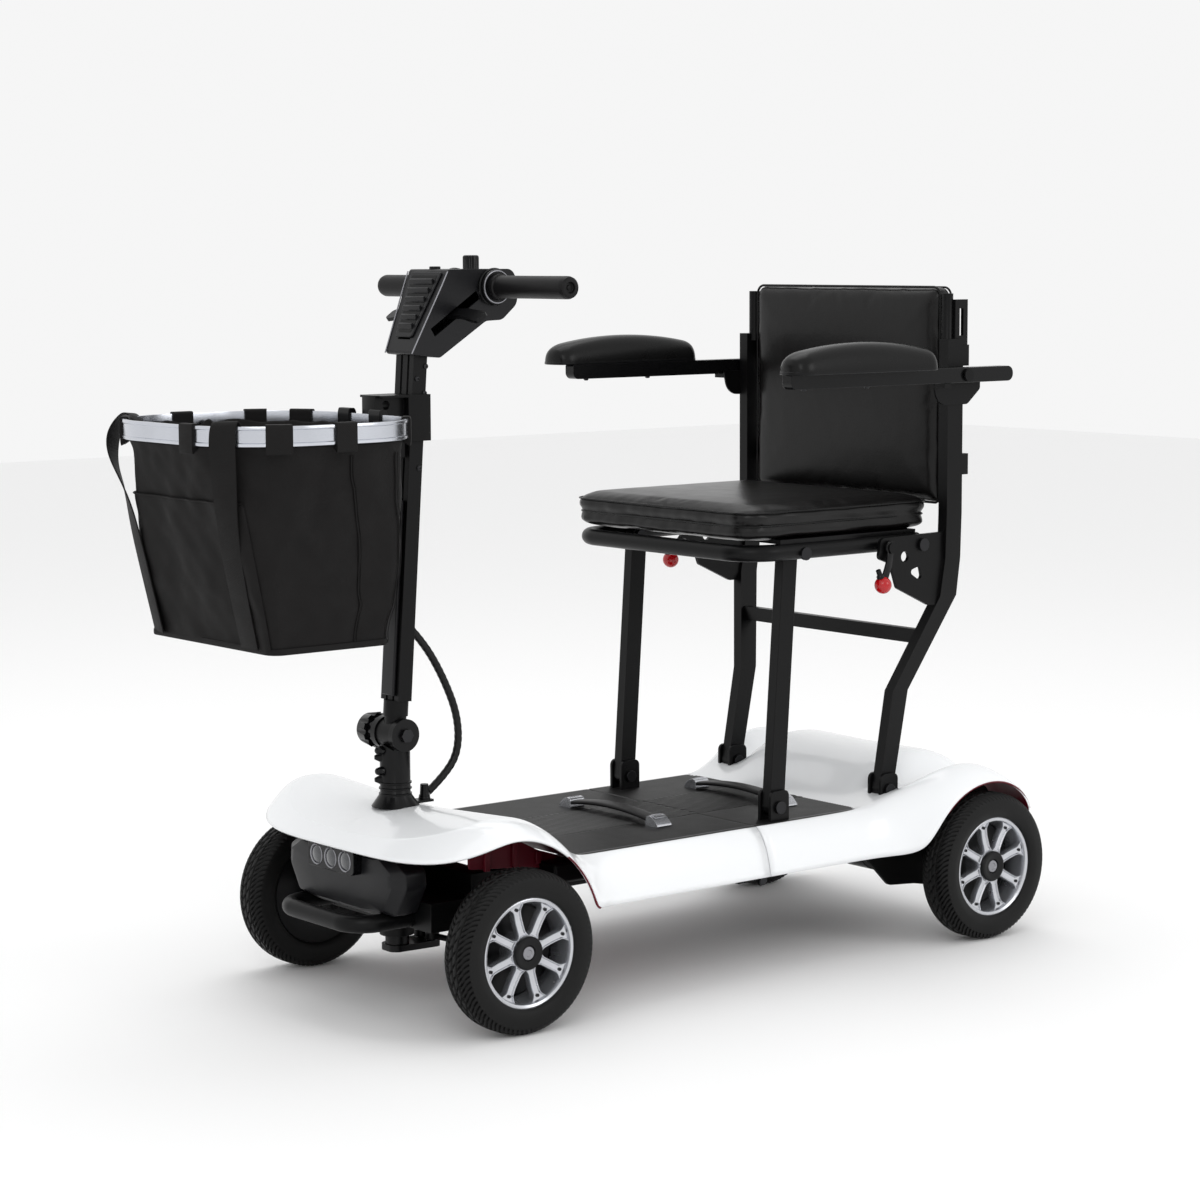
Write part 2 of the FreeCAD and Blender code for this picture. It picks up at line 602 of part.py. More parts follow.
def front_cover():
    """White shell: nose round the steering bell, two fenders, side panels."""
    deck_start = Y_FRONT + FRONT_ARCH - 25
    panel = deck_shell(deck_start, Y_FOLD - FOLD_GAP)
    middle = bonnet(0, LINER_X + 12, DECK_Z - 8).cut(bonnet(SKIN, LINER_X + 12 - SKIN, 0))
    middle = middle.cut(box(-TRACK, TRACK, Y_FRONT - 200, Y_FRONT - NOSE + 40, 0, LIP_Z))
    fender_x = LINER_X + 12 - SKIN, FENDER_OUTER
    start, end = (fender_x[0], Y_STEER, AXLE_Z), (fender_x[1], Y_STEER, AXLE_Z)
    outer = rod(start, end, FRONT_ARCH + 20)
    rim_edge = [e for e in outer.Edges if abs(e.CenterOfMass.x - fender_x[1]) < 0.1]
    outer = outer.makeFillet(16, rim_edge)
    inner_end = (fender_x[1] - 6, Y_STEER, AXLE_Z)
    hollow = fuse(rod((fender_x[0] + SKIN, Y_STEER, AXLE_Z), inner_end, FRONT_ARCH + 12),
                  rod(start, end, FRONT_ARCH))
    above = box(fender_x[0], fender_x[1], Y_FRONT - NOSE - 40, Y_FRONT + 190,
                AXLE_Z + 38, AXLE_Z + 200)
    fender = outer.cut(hollow).common(above)
    ahead = box(fender_x[0] - 1, fender_x[1], Y_STEER - 300, Y_STEER - 20, 0, DECK_Z + 20)
    fender = fender.cut(ahead)
    shell = fuse(middle, fender, mirrored(fender), panel)
    shell = shell.common(plan_profile(nose_plan(), 0, 400))
    bell_hole = rod((0, Y_STEER, 100), (0, Y_STEER, 400), HEAD_TUBE_RADIUS + 1)
    gap = box(-LINER_X, LINER_X, Y_FRONT - 200, deck_start + 1, 0, DECK_Z - 6.5)
    recess = mat_recess(FRONT_MAT_START, Y_FOLD, RUN)
    return shell.cut(fuse(bell_hole, gap)).cut(recess)


def fender_liners():
    """Inner walls of the front wheel wells."""
    y0, y1 = Y_FRONT - 95, Y_FRONT + 118
    wall = side_profile([(y0, BEAM_Z[1] + 1), (y0, DECK_Z + 20, 20), (Y_FRONT - 60, DECK_Z + 40, 40),
                         (Y_FRONT + 40, DECK_Z + 34, 40), (y1, DECK_Z - 10, 20),
                         (y1, BEAM_Z[1] + 1)], LINER_X, LINER_X + SKIN)
    return both(wall)


def bumper_panel():
    """Dark panel below the lamp, with cut corners and folded-back ends."""
    y = Y_FRONT - 98
    outline = symmetric([(82, 148, 6), (122, 174, 6), (126, 196, 6), (112, 207, 4)])
    panel = cross_profile(outline, y, y + 8)
    rib_outline = symmetric([(70, 158, 5), (104, 176, 5), (104, 184, 3), (70, 170, 3)])
    rib = cross_profile(rib_outline, y - 3, y + 1)
    stay = box(44, 60, y + 8, Y_FRONT - BEAM_REACH, 152, 166)
    tab = box(44, 60, Y_FRONT - BEAM_REACH - 4, Y_FRONT - BEAM_REACH, 130, 166)
    return fuse(panel, rib, stay, mirrored(stay), tab, mirrored(tab))


def tube_bumper():
    """Bent tube ahead of the beam."""
    y_front, y_back, z = Y_FRONT - 138, Y_FRONT - BEAM_REACH, 124
    half = 84
    points = [(-half, y_back, z), (-half, y_front, z), (half, y_front, z), (half, y_back, z)]
    return round_tube(points, [0, 34, 34, 0], 11)


LAMP_HALF = 50.0
LAMP_Z = (177.0, 209.0)
LENS_RADIUS = 13.0
LENS_PITCH = 31.0


def headlight_housing():
    """Lamp body with three round reflector bowls."""
    y1 = Y_FRONT - 98
    y0 = y1 - 20
    z0, z1 = LAMP_Z
    body = cross_profile([(-LAMP_HALF, z0, 7), (-LAMP_HALF, z1, 7), (LAMP_HALF, z1, 7),
                          (LAMP_HALF, z0, 7)], y0, y1)
    middle = (z0 + z1) / 2
    for x in (-LENS_PITCH, 0, LENS_PITCH):
        body = body.cut(rod((x, y0, middle), (x, y0 + 12, middle), LENS_RADIUS))
    return body


def headlight_lenses():
    """Three clear lenses, each flush in its bowl."""
    y0 = Y_FRONT - 118
    middle = sum(LAMP_Z) / 2
    return group(*[rod((x, y0 + 1, middle), (x, y0 + 6, middle), LENS_RADIUS)
                   for x in (-LENS_PITCH, 0, LENS_PITCH)])


# ---- steering -------------------------------------------------------------
def steering_column():
    """Stem in the head tube, bell on the bonnet, lower column and its fork."""
    stem = rod((0, Y_STEER, LINK_Z - PITMAN_THICKNESS - 1), (0, Y_STEER, BONNET_Z), STEM_RADIUS)
    base = BONNET_Z + SIDE_PLAY
    bell = Part.makeCone(BELL_RADIUS, COLUMN_RADIUS, 16, V(0, Y_STEER, base))
    column = rod((0, Y_STEER, BONNET_Z + 14), (0, Y_STEER, PIVOT_Z - 8), COLUMN_RADIUS)
    z_pitman = LINK_Z - PITMAN_THICKNESS - 1
    y_pin = Y_STEER + STEER_ARM
    plate = plan_profile(symmetric([(17, Y_STEER - 17, 12), (LINK_OFFSET + 10, y_pin + 9, 8)]),
                         z_pitman, z_pitman + PITMAN_THICKNESS)
    pins = [rod((x, y_pin, z_pitman), (x, y_pin, LINK_Z + LINK_THICKNESS + 2), LINK_PIN)
            for x in (-LINK_OFFSET, LINK_OFFSET)]
    outer, inner = PIVOT_BOSS_HALF, PIVOT_BOSS_HALF - FORK_WALL
    barrel = rod((-outer, Y_STEER, PIVOT_Z), (outer, Y_STEER, PIVOT_Z), PIVOT_BOSS_RADIUS)
    neck = rod((0, Y_STEER, PIVOT_Z - 30), (0, Y_STEER, PIVOT_Z), COLUMN_RADIUS)
    slot = rod((-inner, Y_STEER, PIVOT_Z), (inner, Y_STEER, PIVOT_Z), PIVOT_BOSS_RADIUS + 2)
    opening = box(-inner, inner, Y_STEER - 40, Y_STEER + 40, PIVOT_Z, PIVOT_Z + 60)
    screws = []
    for z in (BONNET_Z + 34, BONNET_Z + 62):
        screws.append(Part.makeCone(7, 2.5, 9, V(-6, Y_STEER - COLUMN_RADIUS + 3, z), V(-0.45, -1, 0)))
    y_gland = Y_STEER + GLAND_BACK
    gland = fuse(box(-9, 9, Y_STEER + BELL_RADIUS - 12, y_gland + 8, base, base + 3),
                 rod((0, y_gland, base), (0, y_gland, base + GLAND_HEIGHT), CABLE_RADIUS + 2))
    column = fuse(column, neck, barrel).cut(slot).cut(opening)
    body = fuse(stem, bell, column, plate, gland, *pins, *screws)
    return body.cut(rod((-60, Y_STEER, PIVOT_Z), (60, Y_STEER, PIVOT_Z), PIVOT_BOLT))


def pivot_bolt():
    """Hex-headed bolt that the tiller folds on."""
    x1 = PIVOT_BOSS_HALF
    shank = rod((-x1 - 12, Y_STEER, PIVOT_Z), (x1 + 1, Y_STEER, PIVOT_Z), PIVOT_BOLT)
    corners = [(x1, Y_STEER + 9 * math.cos(math.radians(a)), PIVOT_Z + 9 * math.sin(math.radians(a)))
               for a in range(0, 360, 60)]
    head = Part.Face(rounded_wire(corners, [0] * 6)).extrude(V(5, 0, 0))
    return fuse(shank, head)


def lock_knob():
    """Fluted hand knob screwed on the pivot bolt."""
    x0 = -PIVOT_BOSS_HALF - 0.5
    start, end = (x0, Y_STEER, PIVOT_Z), (x0 - 30, Y_STEER, PIVOT_Z)
    body = rod(start, (x0 - 10, Y_STEER, PIVOT_Z), 18)
    grip = Part.makeCone(23, 20, 20, V(x0 - 10, Y_STEER, PIVOT_Z), V(-1, 0, 0))
    for i in range(10):
        angle = 2 * math.pi * i / 10
        y, z = Y_STEER + 24 * math.cos(angle), PIVOT_Z + 24 * math.sin(angle)
        grip = grip.cut(rod((x0 - 9, y, z), (x0 - 31, y, z), 4))
    return fuse(body, grip).cut(rod(start, (x0 - 13, Y_STEER, PIVOT_Z), PIVOT_BOLT + RUN))


def knuckle():
    """Kingpin, stub axle and steering arm of the left front wheel."""
    pin = rod((KINGPIN_X, Y_FRONT, AXLE_Z), (KINGPIN_X, Y_FRONT, BEAM_Z[1] + 3), KINGPIN_RADIUS)
    cap = rod((KINGPIN_X, Y_FRONT, BEAM_Z[1] + SIDE_PLAY), (KINGPIN_X, Y_FRONT, BEAM_Z[1] + 6),
              KINGPIN_RADIUS + 4)
    z_top = BEAM_Z[0] - SIDE_PLAY
    block = rod((KINGPIN_X, Y_FRONT, LINK_Z + LINK_THICKNESS + 1), (KINGPIN_X, Y_FRONT, z_top),
                BOSS_RADIUS)
    axle = rod((KINGPIN_X, Y_FRONT, AXLE_Z), (HALF_TRACK + 13.5, Y_FRONT, AXLE_Z), AXLE_RADIUS)
    z_arm = LINK_Z + LINK_THICKNESS + 1
    x_pin, y_pin = KINGPIN_X + LINK_OFFSET, Y_FRONT + STEER_ARM
    arm = plan_profile([(x_pin - 9, Y_FRONT), (x_pin + 9, Y_FRONT), (x_pin + 9, y_pin + 9, 8),
                        (x_pin - 9, y_pin + 9, 8)], z_arm, z_arm + 8)
    link_pin = rod((x_pin, y_pin, LINK_Z - 3), (x_pin, y_pin, z_arm + 2), LINK_PIN)
    return fuse(pin, cap, block, axle, arm, link_pin)


def tie_rod():
    """Link from the steering stem to the left knuckle."""
    z = LINK_Z
    start = (LINK_OFFSET, Y_STEER + STEER_ARM)
    end = (KINGPIN_X + LINK_OFFSET, Y_FRONT + STEER_ARM)
    eyes = [rod((x, y, z), (x, y, z + LINK_THICKNESS), LINK_EYE) for x, y in (start, end)]
    middle = z + LINK_THICKNESS / 2
    bar = rod((*start, middle), (*end, middle), LINK_THICKNESS / 2 - 0.2)
    near = rod((*start, z - 5), (*start, z + 20), LINK_PIN + RUN)
    far = rod((*end, z - 5), (*end, z + 20), LINK_PIN + OPEN_PIVOT_PLAY)
    return fuse(*eyes, bar).cut(near).cut(far)


# ---- tiller ---------------------------------------------------------------
PIVOT = (0, Y_STEER, PIVOT_Z)
Y_BAR = Y_STEER + BAR_BACK
CONSOLE_SKIN = 3.0
RAKE = (0.0, -0.573, 0.819)    # square to the throttle slots
SLOT_MIDDLE = (-54.0, -32.0)   # behind and above the handlebar
SLOT_HALF = 40.0
SLOT_WIDTH = 12.0
LEVER_REACH = 98.0
LEVER_THICKNESS = 5.0
LEVER_WIDTH = 16.0
LEVER_PIN = 3.0
CABLE_EXIT = (24.5, 467.0)     # behind the steering axis, above the floor


def tiller_joint():
    """Tongue between the fork walls and the round collar above it."""
    half = PIVOT_BOSS_HALF - FORK_WALL - SIDE_PLAY / 2
    tongue = rod((-half, Y_STEER, PIVOT_Z), (half, Y_STEER, PIVOT_Z), PIVOT_BOSS_RADIUS - 2)
    neck = rod((0, Y_STEER, PIVOT_Z + 12), (0, Y_STEER, PIVOT_Z + 24), half - 1)
    collar = rod((0, Y_STEER, PIVOT_Z + PIVOT_BOSS_RADIUS + 2),
                 (0, Y_STEER, PIVOT_Z + POST_BOTTOM), COLLAR_RADIUS)
    spigot = box(-POST_WIDTH / 2 + 3, POST_WIDTH / 2 - 3, Y_STEER - POST_DEPTH / 2 + 3,
                 Y_STEER + POST_DEPTH / 2 - 3, PIVOT_Z + POST_BOTTOM, PIVOT_Z + POST_BOTTOM + 60)
    body = fuse(tongue, neck, collar, spigot)
    body = body.cut(rod((-60, Y_STEER, PIVOT_Z), (60, Y_STEER, PIVOT_Z), PIVOT_BOLT + RUN))
    return leaning(body, PIVOT, TILLER_LEAN)


def post_block(bottom, top, inset=0.0):
    """The outline of the post as a solid, leaning with the tiller."""
    x, y = POST_WIDTH / 2 - inset, POST_DEPTH / 2 - inset
    block = box(-x, x, Y_STEER - y, Y_STEER + y, PIVOT_Z + bottom, PIVOT_Z + top)
    return leaning(block, PIVOT, TILLER_LEAN)


def tiller_post():
    """Aluminium box section with two grooves in front and the cable outlet behind."""
    post = post_block(POST_BOTTOM, POST_TOP)
    for x in (-6, 8):
        groove = box(x - 2, x + 2, Y_STEER - POST_DEPTH, Y_STEER - POST_DEPTH / 2 + 1.5,
                     PIVOT_Z + POST_BOTTOM - 5, PIVOT_Z + POST_TOP + 5)
        post = post.cut(leaning(groove, PIVOT, TILLER_LEAN))
    y, z = CABLE_EXIT
    outlet = rod((0, Y_STEER + y - 8, z + 8), (0, Y_STEER + y - 0.5, z + 0.5), CABLE_RADIUS + 2)
    bore = post_block(POST_BOTTOM - 5, POST_TOP + 5, 3)
    return fuse(post, outlet.cut(post_block(POST_BOTTOM, POST_TOP, 1))).cut(bore)


def post_plate():
    """Plain trim strip on the front of the post below the basket."""
    plate = box(-13, 13, Y_STEER - POST_DEPTH / 2 - 5, Y_STEER - POST_DEPTH / 2,
                PIVOT_Z + 48, PIVOT_Z + 290)
    plate = plate.makeFillet(2, [e for e in plate.Edges if e.Length > 20])
    return leaning(plate, PIVOT, TILLER_LEAN)


BRACKET_Z = (700.0, 757.0)
BASKET_REAR = Y_FRONT - BASKET_REACH + BASKET_DEPTH


def basket_bracket():
    """Clamp round the post with a web that carries the basket's adaptor."""
    z0, z1 = BRACKET_Z
    lean = math.tan(math.radians(TILLER_LEAN))
    y = Y_STEER + ((z0 + z1) / 2 - PIVOT_Z) * lean
    clamp = box(-POST_WIDTH / 2 - 5, POST_WIDTH / 2 + 5, y - POST_DEPTH / 2 - 7,
                y + POST_DEPTH / 2 + 6, z0, z1)
    start = BASKET_REAR + 3.4
    web = box(-14, 14, start, y - POST_DEPTH / 2 - 6, z0, z1)
    flange = box(-24, 24, start + 4, y - POST_DEPTH / 2 - 6, z1 - 3, z1)
    shelf = box(-14, 14, BASKET_REAR - 5, y - POST_DEPTH / 2 - 6, z0 - 20, z0 - 12)
    riser = box(-14, 14, start, y - POST_DEPTH / 2 - 6, z0 - 20, z0)
    hole = rod((-40, start + 16, z1 - 12), (40, start + 16, z1 - 12), 5.5)
    return fuse(clamp, web, flange, shelf, riser).cut(hole).cut(post_block(0, POST_TOP + 20))


def console_outline(inset=0.0):
    """Side outline of the console, given from the handlebar's centre."""
    points = [(-116 + inset, -81 + inset, 4), (-69 + inset, 22 - inset, 5), (28, 22 - inset, 14),
              (40 - inset, 4, 10), (39 - inset, -22 + inset, 14), (18, -41 + inset, 14),
              (-7, -42 + inset, 12), (-74, -86 + inset, 8)]
    return [(Y_BAR + y, BAR_Z + z, r) for y, z, r in points]


def console_width(inset=0.0):
    """Cross outline of the console: narrower at the foot."""
    top, foot = CONSOLE_TOP_HALF - inset, CONSOLE_BOTTOM_HALF - inset
    return symmetric([(foot, BAR_Z - 90), (top, BAR_Z + 23)])


def throttle_frame(shape):
    """Place a shape made at the origin, with Z as the slot's normal, on the slot."""
    moved = shape.copy()
    moved.rotate(V(0, 0, 0), V(1, 0, 0), math.degrees(math.atan2(-RAKE[1], RAKE[2])))
    y, z = SLOT_MIDDLE
    moved.translate(V(0, Y_BAR + y, BAR_Z + z))
    return moved


def console_shell():
    """Moulded head with louvres in front and a slot through both sides."""
    y_range = (Y_BAR - 140, Y_BAR + 60)
    body = side_profile(console_outline(), -CONSOLE_TOP_HALF, CONSOLE_TOP_HALF)
    body = body.common(cross_profile(console_width(), *y_range))
    pin = throttle_frame(rod((0, 0, -60), (0, 0, 60), LEVER_PIN)).common(body)
    hollow = side_profile(console_outline(CONSOLE_SKIN), -CONSOLE_TOP_HALF, CONSOLE_TOP_HALF)
    body = body.cut(hollow.common(cross_profile(console_width(CONSOLE_SKIN), *y_range)))
    slope = math.degrees(math.atan2(47, 103))
    for i in range(5):
        rise = 20 + 13 * i
        half = 13 + 2.4 * i
        louvre = box(-half, half, -3, 6, rise, rise + 6)
        louvre.rotate(V(0, 0, 0), V(1, 0, 0), -slope)
        louvre.translate(V(0, Y_BAR - 116, BAR_Z - 81))
        body = body.cut(louvre)
    slot = box(-80, 80, -SLOT_HALF, SLOT_HALF, -SLOT_WIDTH / 2, SLOT_WIDTH / 2)
    body = fuse(body.cut(throttle_frame(slot)), pin)
    bar = rod((-80, Y_BAR, BAR_Z), (80, Y_BAR, BAR_Z), BAR_RADIUS)
    knob = rod((0, KNOB_Y, BAR_Z), (0, KNOB_Y, BAR_Z + 40), 4)
    button = rod((0, BUTTON_Y, BAR_Z), (0, BUTTON_Y, BAR_Z + 40), BUTTON_RADIUS + 0.2)
    return body.cut(fuse(bar, knob, button)).cut(post_block(0, POST_TOP + 1))


KNOB_Y = Y_BAR - 5.0
KNOB_RADIUS = 10.0
KNOB_HEIGHT = 13.0
BUTTON_Y = Y_BAR - 60.0
BUTTON_RADIUS = 7.0
BUTTON_TRAVEL = 2.5
CONSOLE_TOP = BAR_Z + 22.0


def handlebar():
    """Straight tube through the console, clamped to the head of the post."""
    bar = rod((-BAR_HALF + 2, Y_BAR, BAR_Z), (BAR_HALF - 2, Y_BAR, BAR_Z), BAR_RADIUS)
    bore = rod((-BAR_HALF, Y_BAR, BAR_Z), (BAR_HALF, Y_BAR, BAR_Z), BAR_RADIUS - 2)
    return bar.cut(bore)


def grips():
    """Rubber grip with a flange at the console and a closed end, one each side."""
    x0 = BAR_HALF - GRIP_LENGTH
    sleeve = ring((x0, Y_BAR, BAR_Z), (BAR_HALF - 2, Y_BAR, BAR_Z), GRIP_RADIUS, BAR_RADIUS)
    flange = ring((x0 - 4, Y_BAR, BAR_Z), (x0, Y_BAR, BAR_Z), GRIP_RADIUS + 2, BAR_RADIUS)
    plug = rod((BAR_HALF - 2, Y_BAR, BAR_Z), (BAR_HALF, Y_BAR, BAR_Z), GRIP_RADIUS)
    plug = plug.cut(rod((BAR_HALF - 0.8, Y_BAR, BAR_Z), (BAR_HALF, Y_BAR, BAR_Z), 7))
    return both(fuse(sleeve, flange, plug))


def throttle_lever():
    """Two-way throttle: a bar through the console with a paddle at each end."""
    hub = rod((0, 0, -LEVER_THICKNESS), (0, 0, LEVER_THICKNESS), 11)
    bore = rod((0, 0, -LEVER_THICKNESS * 2), (0, 0, LEVER_THICKNESS * 2), LEVER_PIN + RUN)
    arm = box(0, LEVER_REACH - 42, -LEVER_WIDTH / 2, LEVER_WIDTH / 2,
              -LEVER_THICKNESS / 2, LEVER_THICKNESS / 2)
    paddle = plan_profile([(LEVER_REACH - 44, -LEVER_WIDTH / 2), (LEVER_REACH, -18, 6),
                           (LEVER_REACH, 2, 6), (LEVER_REACH - 44, LEVER_WIDTH / 2)],
                          -LEVER_THICKNESS / 2, LEVER_THICKNESS / 2)
    half = fuse(arm, paddle)
    return throttle_frame(fuse(hub, half, mirrored(half)).cut(bore))


def speed_knob():
    """Fluted dial on a short spindle."""
    base = CONSOLE_TOP + SIDE_PLAY
    knob = rod((0, KNOB_Y, base), (0, KNOB_Y, base + KNOB_HEIGHT), KNOB_RADIUS)
    for i in range(12):
        angle = 2 * math.pi * i / 12
        x, y = KNOB_RADIUS * math.cos(angle), KNOB_Y + KNOB_RADIUS * math.sin(angle)
        knob = knob.cut(rod((x, y, base + 2), (x, y, base + KNOB_HEIGHT), 1.4))
    spindle = rod((0, KNOB_Y, CONSOLE_TOP - CONSOLE_SKIN - 3), (0, KNOB_Y, base), 4 - RUN)
    return fuse(knob, spindle)


def horn_button():
    """Round push button that sinks into the console."""
    button = rod((0, BUTTON_Y, CONSOLE_TOP - CONSOLE_SKIN - 2), (0, BUTTON_Y, CONSOLE_TOP + 3.5),
                 BUTTON_RADIUS)
    return button.makeFillet(1, [e for e in button.Edges if e.CenterOfMass.z > CONSOLE_TOP + 3])


# ---- basket ---------------------------------------------------------------
def basket_wire(half, depth, corner, z, y_middle):
    """A level rounded rectangle."""
    y0, y1 = y_middle - depth / 2, y_middle + depth / 2
    points = [(half, y0, z), (half, y1, z), (-half, y1, z), (-half, y0, z)]
    return rounded_wire(points, [corner] * 4)


BASKET_MIDDLE = BASKET_REAR - BASKET_DEPTH / 2


def basket_rim():
    """Flat aluminium band with the adaptor that hangs on the bracket."""
    z0 = BASKET_TOP_Z - BASKET_BAND
    outer = Part.Face(basket_wire(BASKET_HALF, BASKET_DEPTH, BASKET_CORNER, z0, BASKET_MIDDLE))
    inner = Part.Face(basket_wire(BASKET_HALF - 4, BASKET_DEPTH - 8, BASKET_CORNER - 4, z0, BASKET_MIDDLE))
    band = outer.cut(inner).extrude(V(0, 0, BASKET_BAND))
    adaptor = box(-22, 22, BASKET_REAR - 1, BASKET_REAR + 3, BRACKET_Z[0] - 11.5, BASKET_TOP_Z)
    return fuse(band, adaptor)


def basket_bag():
    """Open fabric bag that hangs inside the rim."""
    def loft(inset, floor):
        gap = RIM_GAP + inset
        top = basket_wire(BASKET_HALF - gap, BASKET_DEPTH - 2 * gap, BASKET_CORNER - gap,
                          BASKET_TOP_Z - 2 + inset, BASKET_MIDDLE)
        bottom = basket_wire(BASKET_BOTTOM_HALF - inset, BASKET_BOTTOM_DEPTH - 2 * inset, 20,
                             BASKET_TOP_Z - BASKET_HEIGHT + floor, BASKET_MIDDLE)
        return Part.makeLoft([bottom, top], True, True)
    return loft(0, 0).cut(loft(BAG_WALL, BAG_WALL))


# ---- cable ----------------------------------------------------------------
CABLE_ROUTE = [CABLE_EXIT, (46.0, 446.0), (74.0, 402.0), (96.0, 352.0), (98.0, 308.0),
               (80.0, 279.0), (50.0, 258.0)]   # behind the steering axis, above the floor


def cord_radii(points):
    """The largest arc that the two runs at each inner point leave room for."""
    radii = [0.0]
    for before, corner, after in zip(points, points[1:], points[2:]):
        back, ahead = V(*before) - V(*corner), V(*after) - V(*corner)
        turn = math.pi - back.getAngle(ahead)
        radii.append(0.45 * min(back.Length, ahead.Length) / math.tan(turn / 2))
    return radii + [0.0]


def cable_harness():
    """Spiral-wrapped harness from the post down to the gland on the bell."""
    points = [(0, Y_STEER + y, z) for y, z in CABLE_ROUTE]
    radii = cord_radii(points)
    tube = round_tube(points, radii, CABLE_RADIUS)
    print("cable arc radii", [round(r, 1) for r in radii[1:-1]])
    path = rounded_wire(points, radii, closed=False)
    section = math.pi * CABLE_RADIUS ** 2
    print("cable length", round(path.Length, 1), "volume ratio",
          round(tube.Volume / (section * path.Length), 4))
    return tube


# ---- seat -----------------------------------------------------------------
Y_BACK = Y_SEAT + 77.0                   # middle of the back posts
Y_SEAT_FRONT = Y_SEAT - 272.0
SEAT_PIVOT_Z = FOOT_Z + LEG_RISE
SEAT_TUBE_Z = SEAT_PIVOT_Z + 3.0
Y_SEAT_C = Y_SEAT + LEG_LEAN             # rear seat pivot
Y_SEAT_B = Y_SEAT_C - SEAT_BASE          # front seat pivot
CUSHION_Z = SEAT_TUBE_Z + SEAT_TUBE + 5.0
GUSSET_X = POST_X
GUSSET_WALL = 5.0
LATCH_AHEAD = 62.0                       # latch pivot ahead of the rear seat pivot
LATCH_PIN = 4.0
LATCH_BALL = 11.5


def leg(levels, width):
    """A bar through level sections, each (x, y, z, depth)."""
    wires = []
    for x, y, z, depth in levels:
        corners = [(x - width / 2, y - depth / 2, z), (x + width / 2, y - depth / 2, z),
                   (x + width / 2, y + depth / 2, z), (x - width / 2, y + depth / 2, z)]
        wires.append(rounded_wire(corners, [0] * 4))
    return Part.makeLoft(wires, True, True)


def leg_eye(x, y, z):
    """Round end of a leg, centred on its bolt."""
    half = LEG_WIDTH / 2
    return rod((x - half, y, z), (x + half, y, z), LEG_DEPTH / 2)


def bolt_hole(y, z, radius):
    """A cutter along X, right through the seat."""
    return rod((-300, y, z), (300, y, z), radius)


def front_legs():
    """The two straight front legs."""
    y0, y1 = Y_SEAT - SEAT_BASE, Y_SEAT_B
    bar = leg([(LEG_X, y0, FOOT_Z, LEG_DEPTH), (LEG_X, y1, SEAT_PIVOT_Z, LEG_DEPTH)], LEG_WIDTH)
    body = fuse(bar, leg_eye(LEG_X, y0, FOOT_Z), leg_eye(LEG_X, y1, SEAT_PIVOT_Z))
    body = body.cut(bolt_hole(y0, FOOT_Z, BOLT + RUN)).cut(bolt_hole(y1, SEAT_PIVOT_Z, BOLT + RUN))
    return both(body)


def gusset():
    """Latch plate welded to the back post, with two lightening holes."""
    z = SEAT_PIVOT_Z
    y = Y_SEAT_C
    outline = [(y - 76, z + 10, 5), (y - 80, z - 14, 6), (y - 58, z - 22, 8), (y - 46, z - 55, 6),
               (y + 12, z - 82, 6), (Y_BACK, z - 82), (Y_BACK, z + 15), (y - 70, z + 13, 6)]
    half = GUSSET_WALL / 2
    plate = side_profile(outline, GUSSET_X - half, GUSSET_X + half)
    windows = [side_profile([(y - 26, z - 34, 4), (y - 4, z - 28, 4), (y + 2, z - 52, 5)],
                            GUSSET_X - 10, GUSSET_X + 10),
               rod((GUSSET_X - 10, y - 32, z - 14), (GUSSET_X + 10, y - 32, z - 14), 7)]
    pin_x = GUSSET_X + half
    pin = rod((pin_x - 1, y - LATCH_AHEAD, z), (pin_x + 6.5, y - LATCH_AHEAD, z), LATCH_PIN)
    head = rod((pin_x + 6.5, y - LATCH_AHEAD, z), (pin_x + 9, y - LATCH_AHEAD, z), LATCH_PIN + 3)
    return fuse(plate.cut(fuse(*windows)), pin, head)


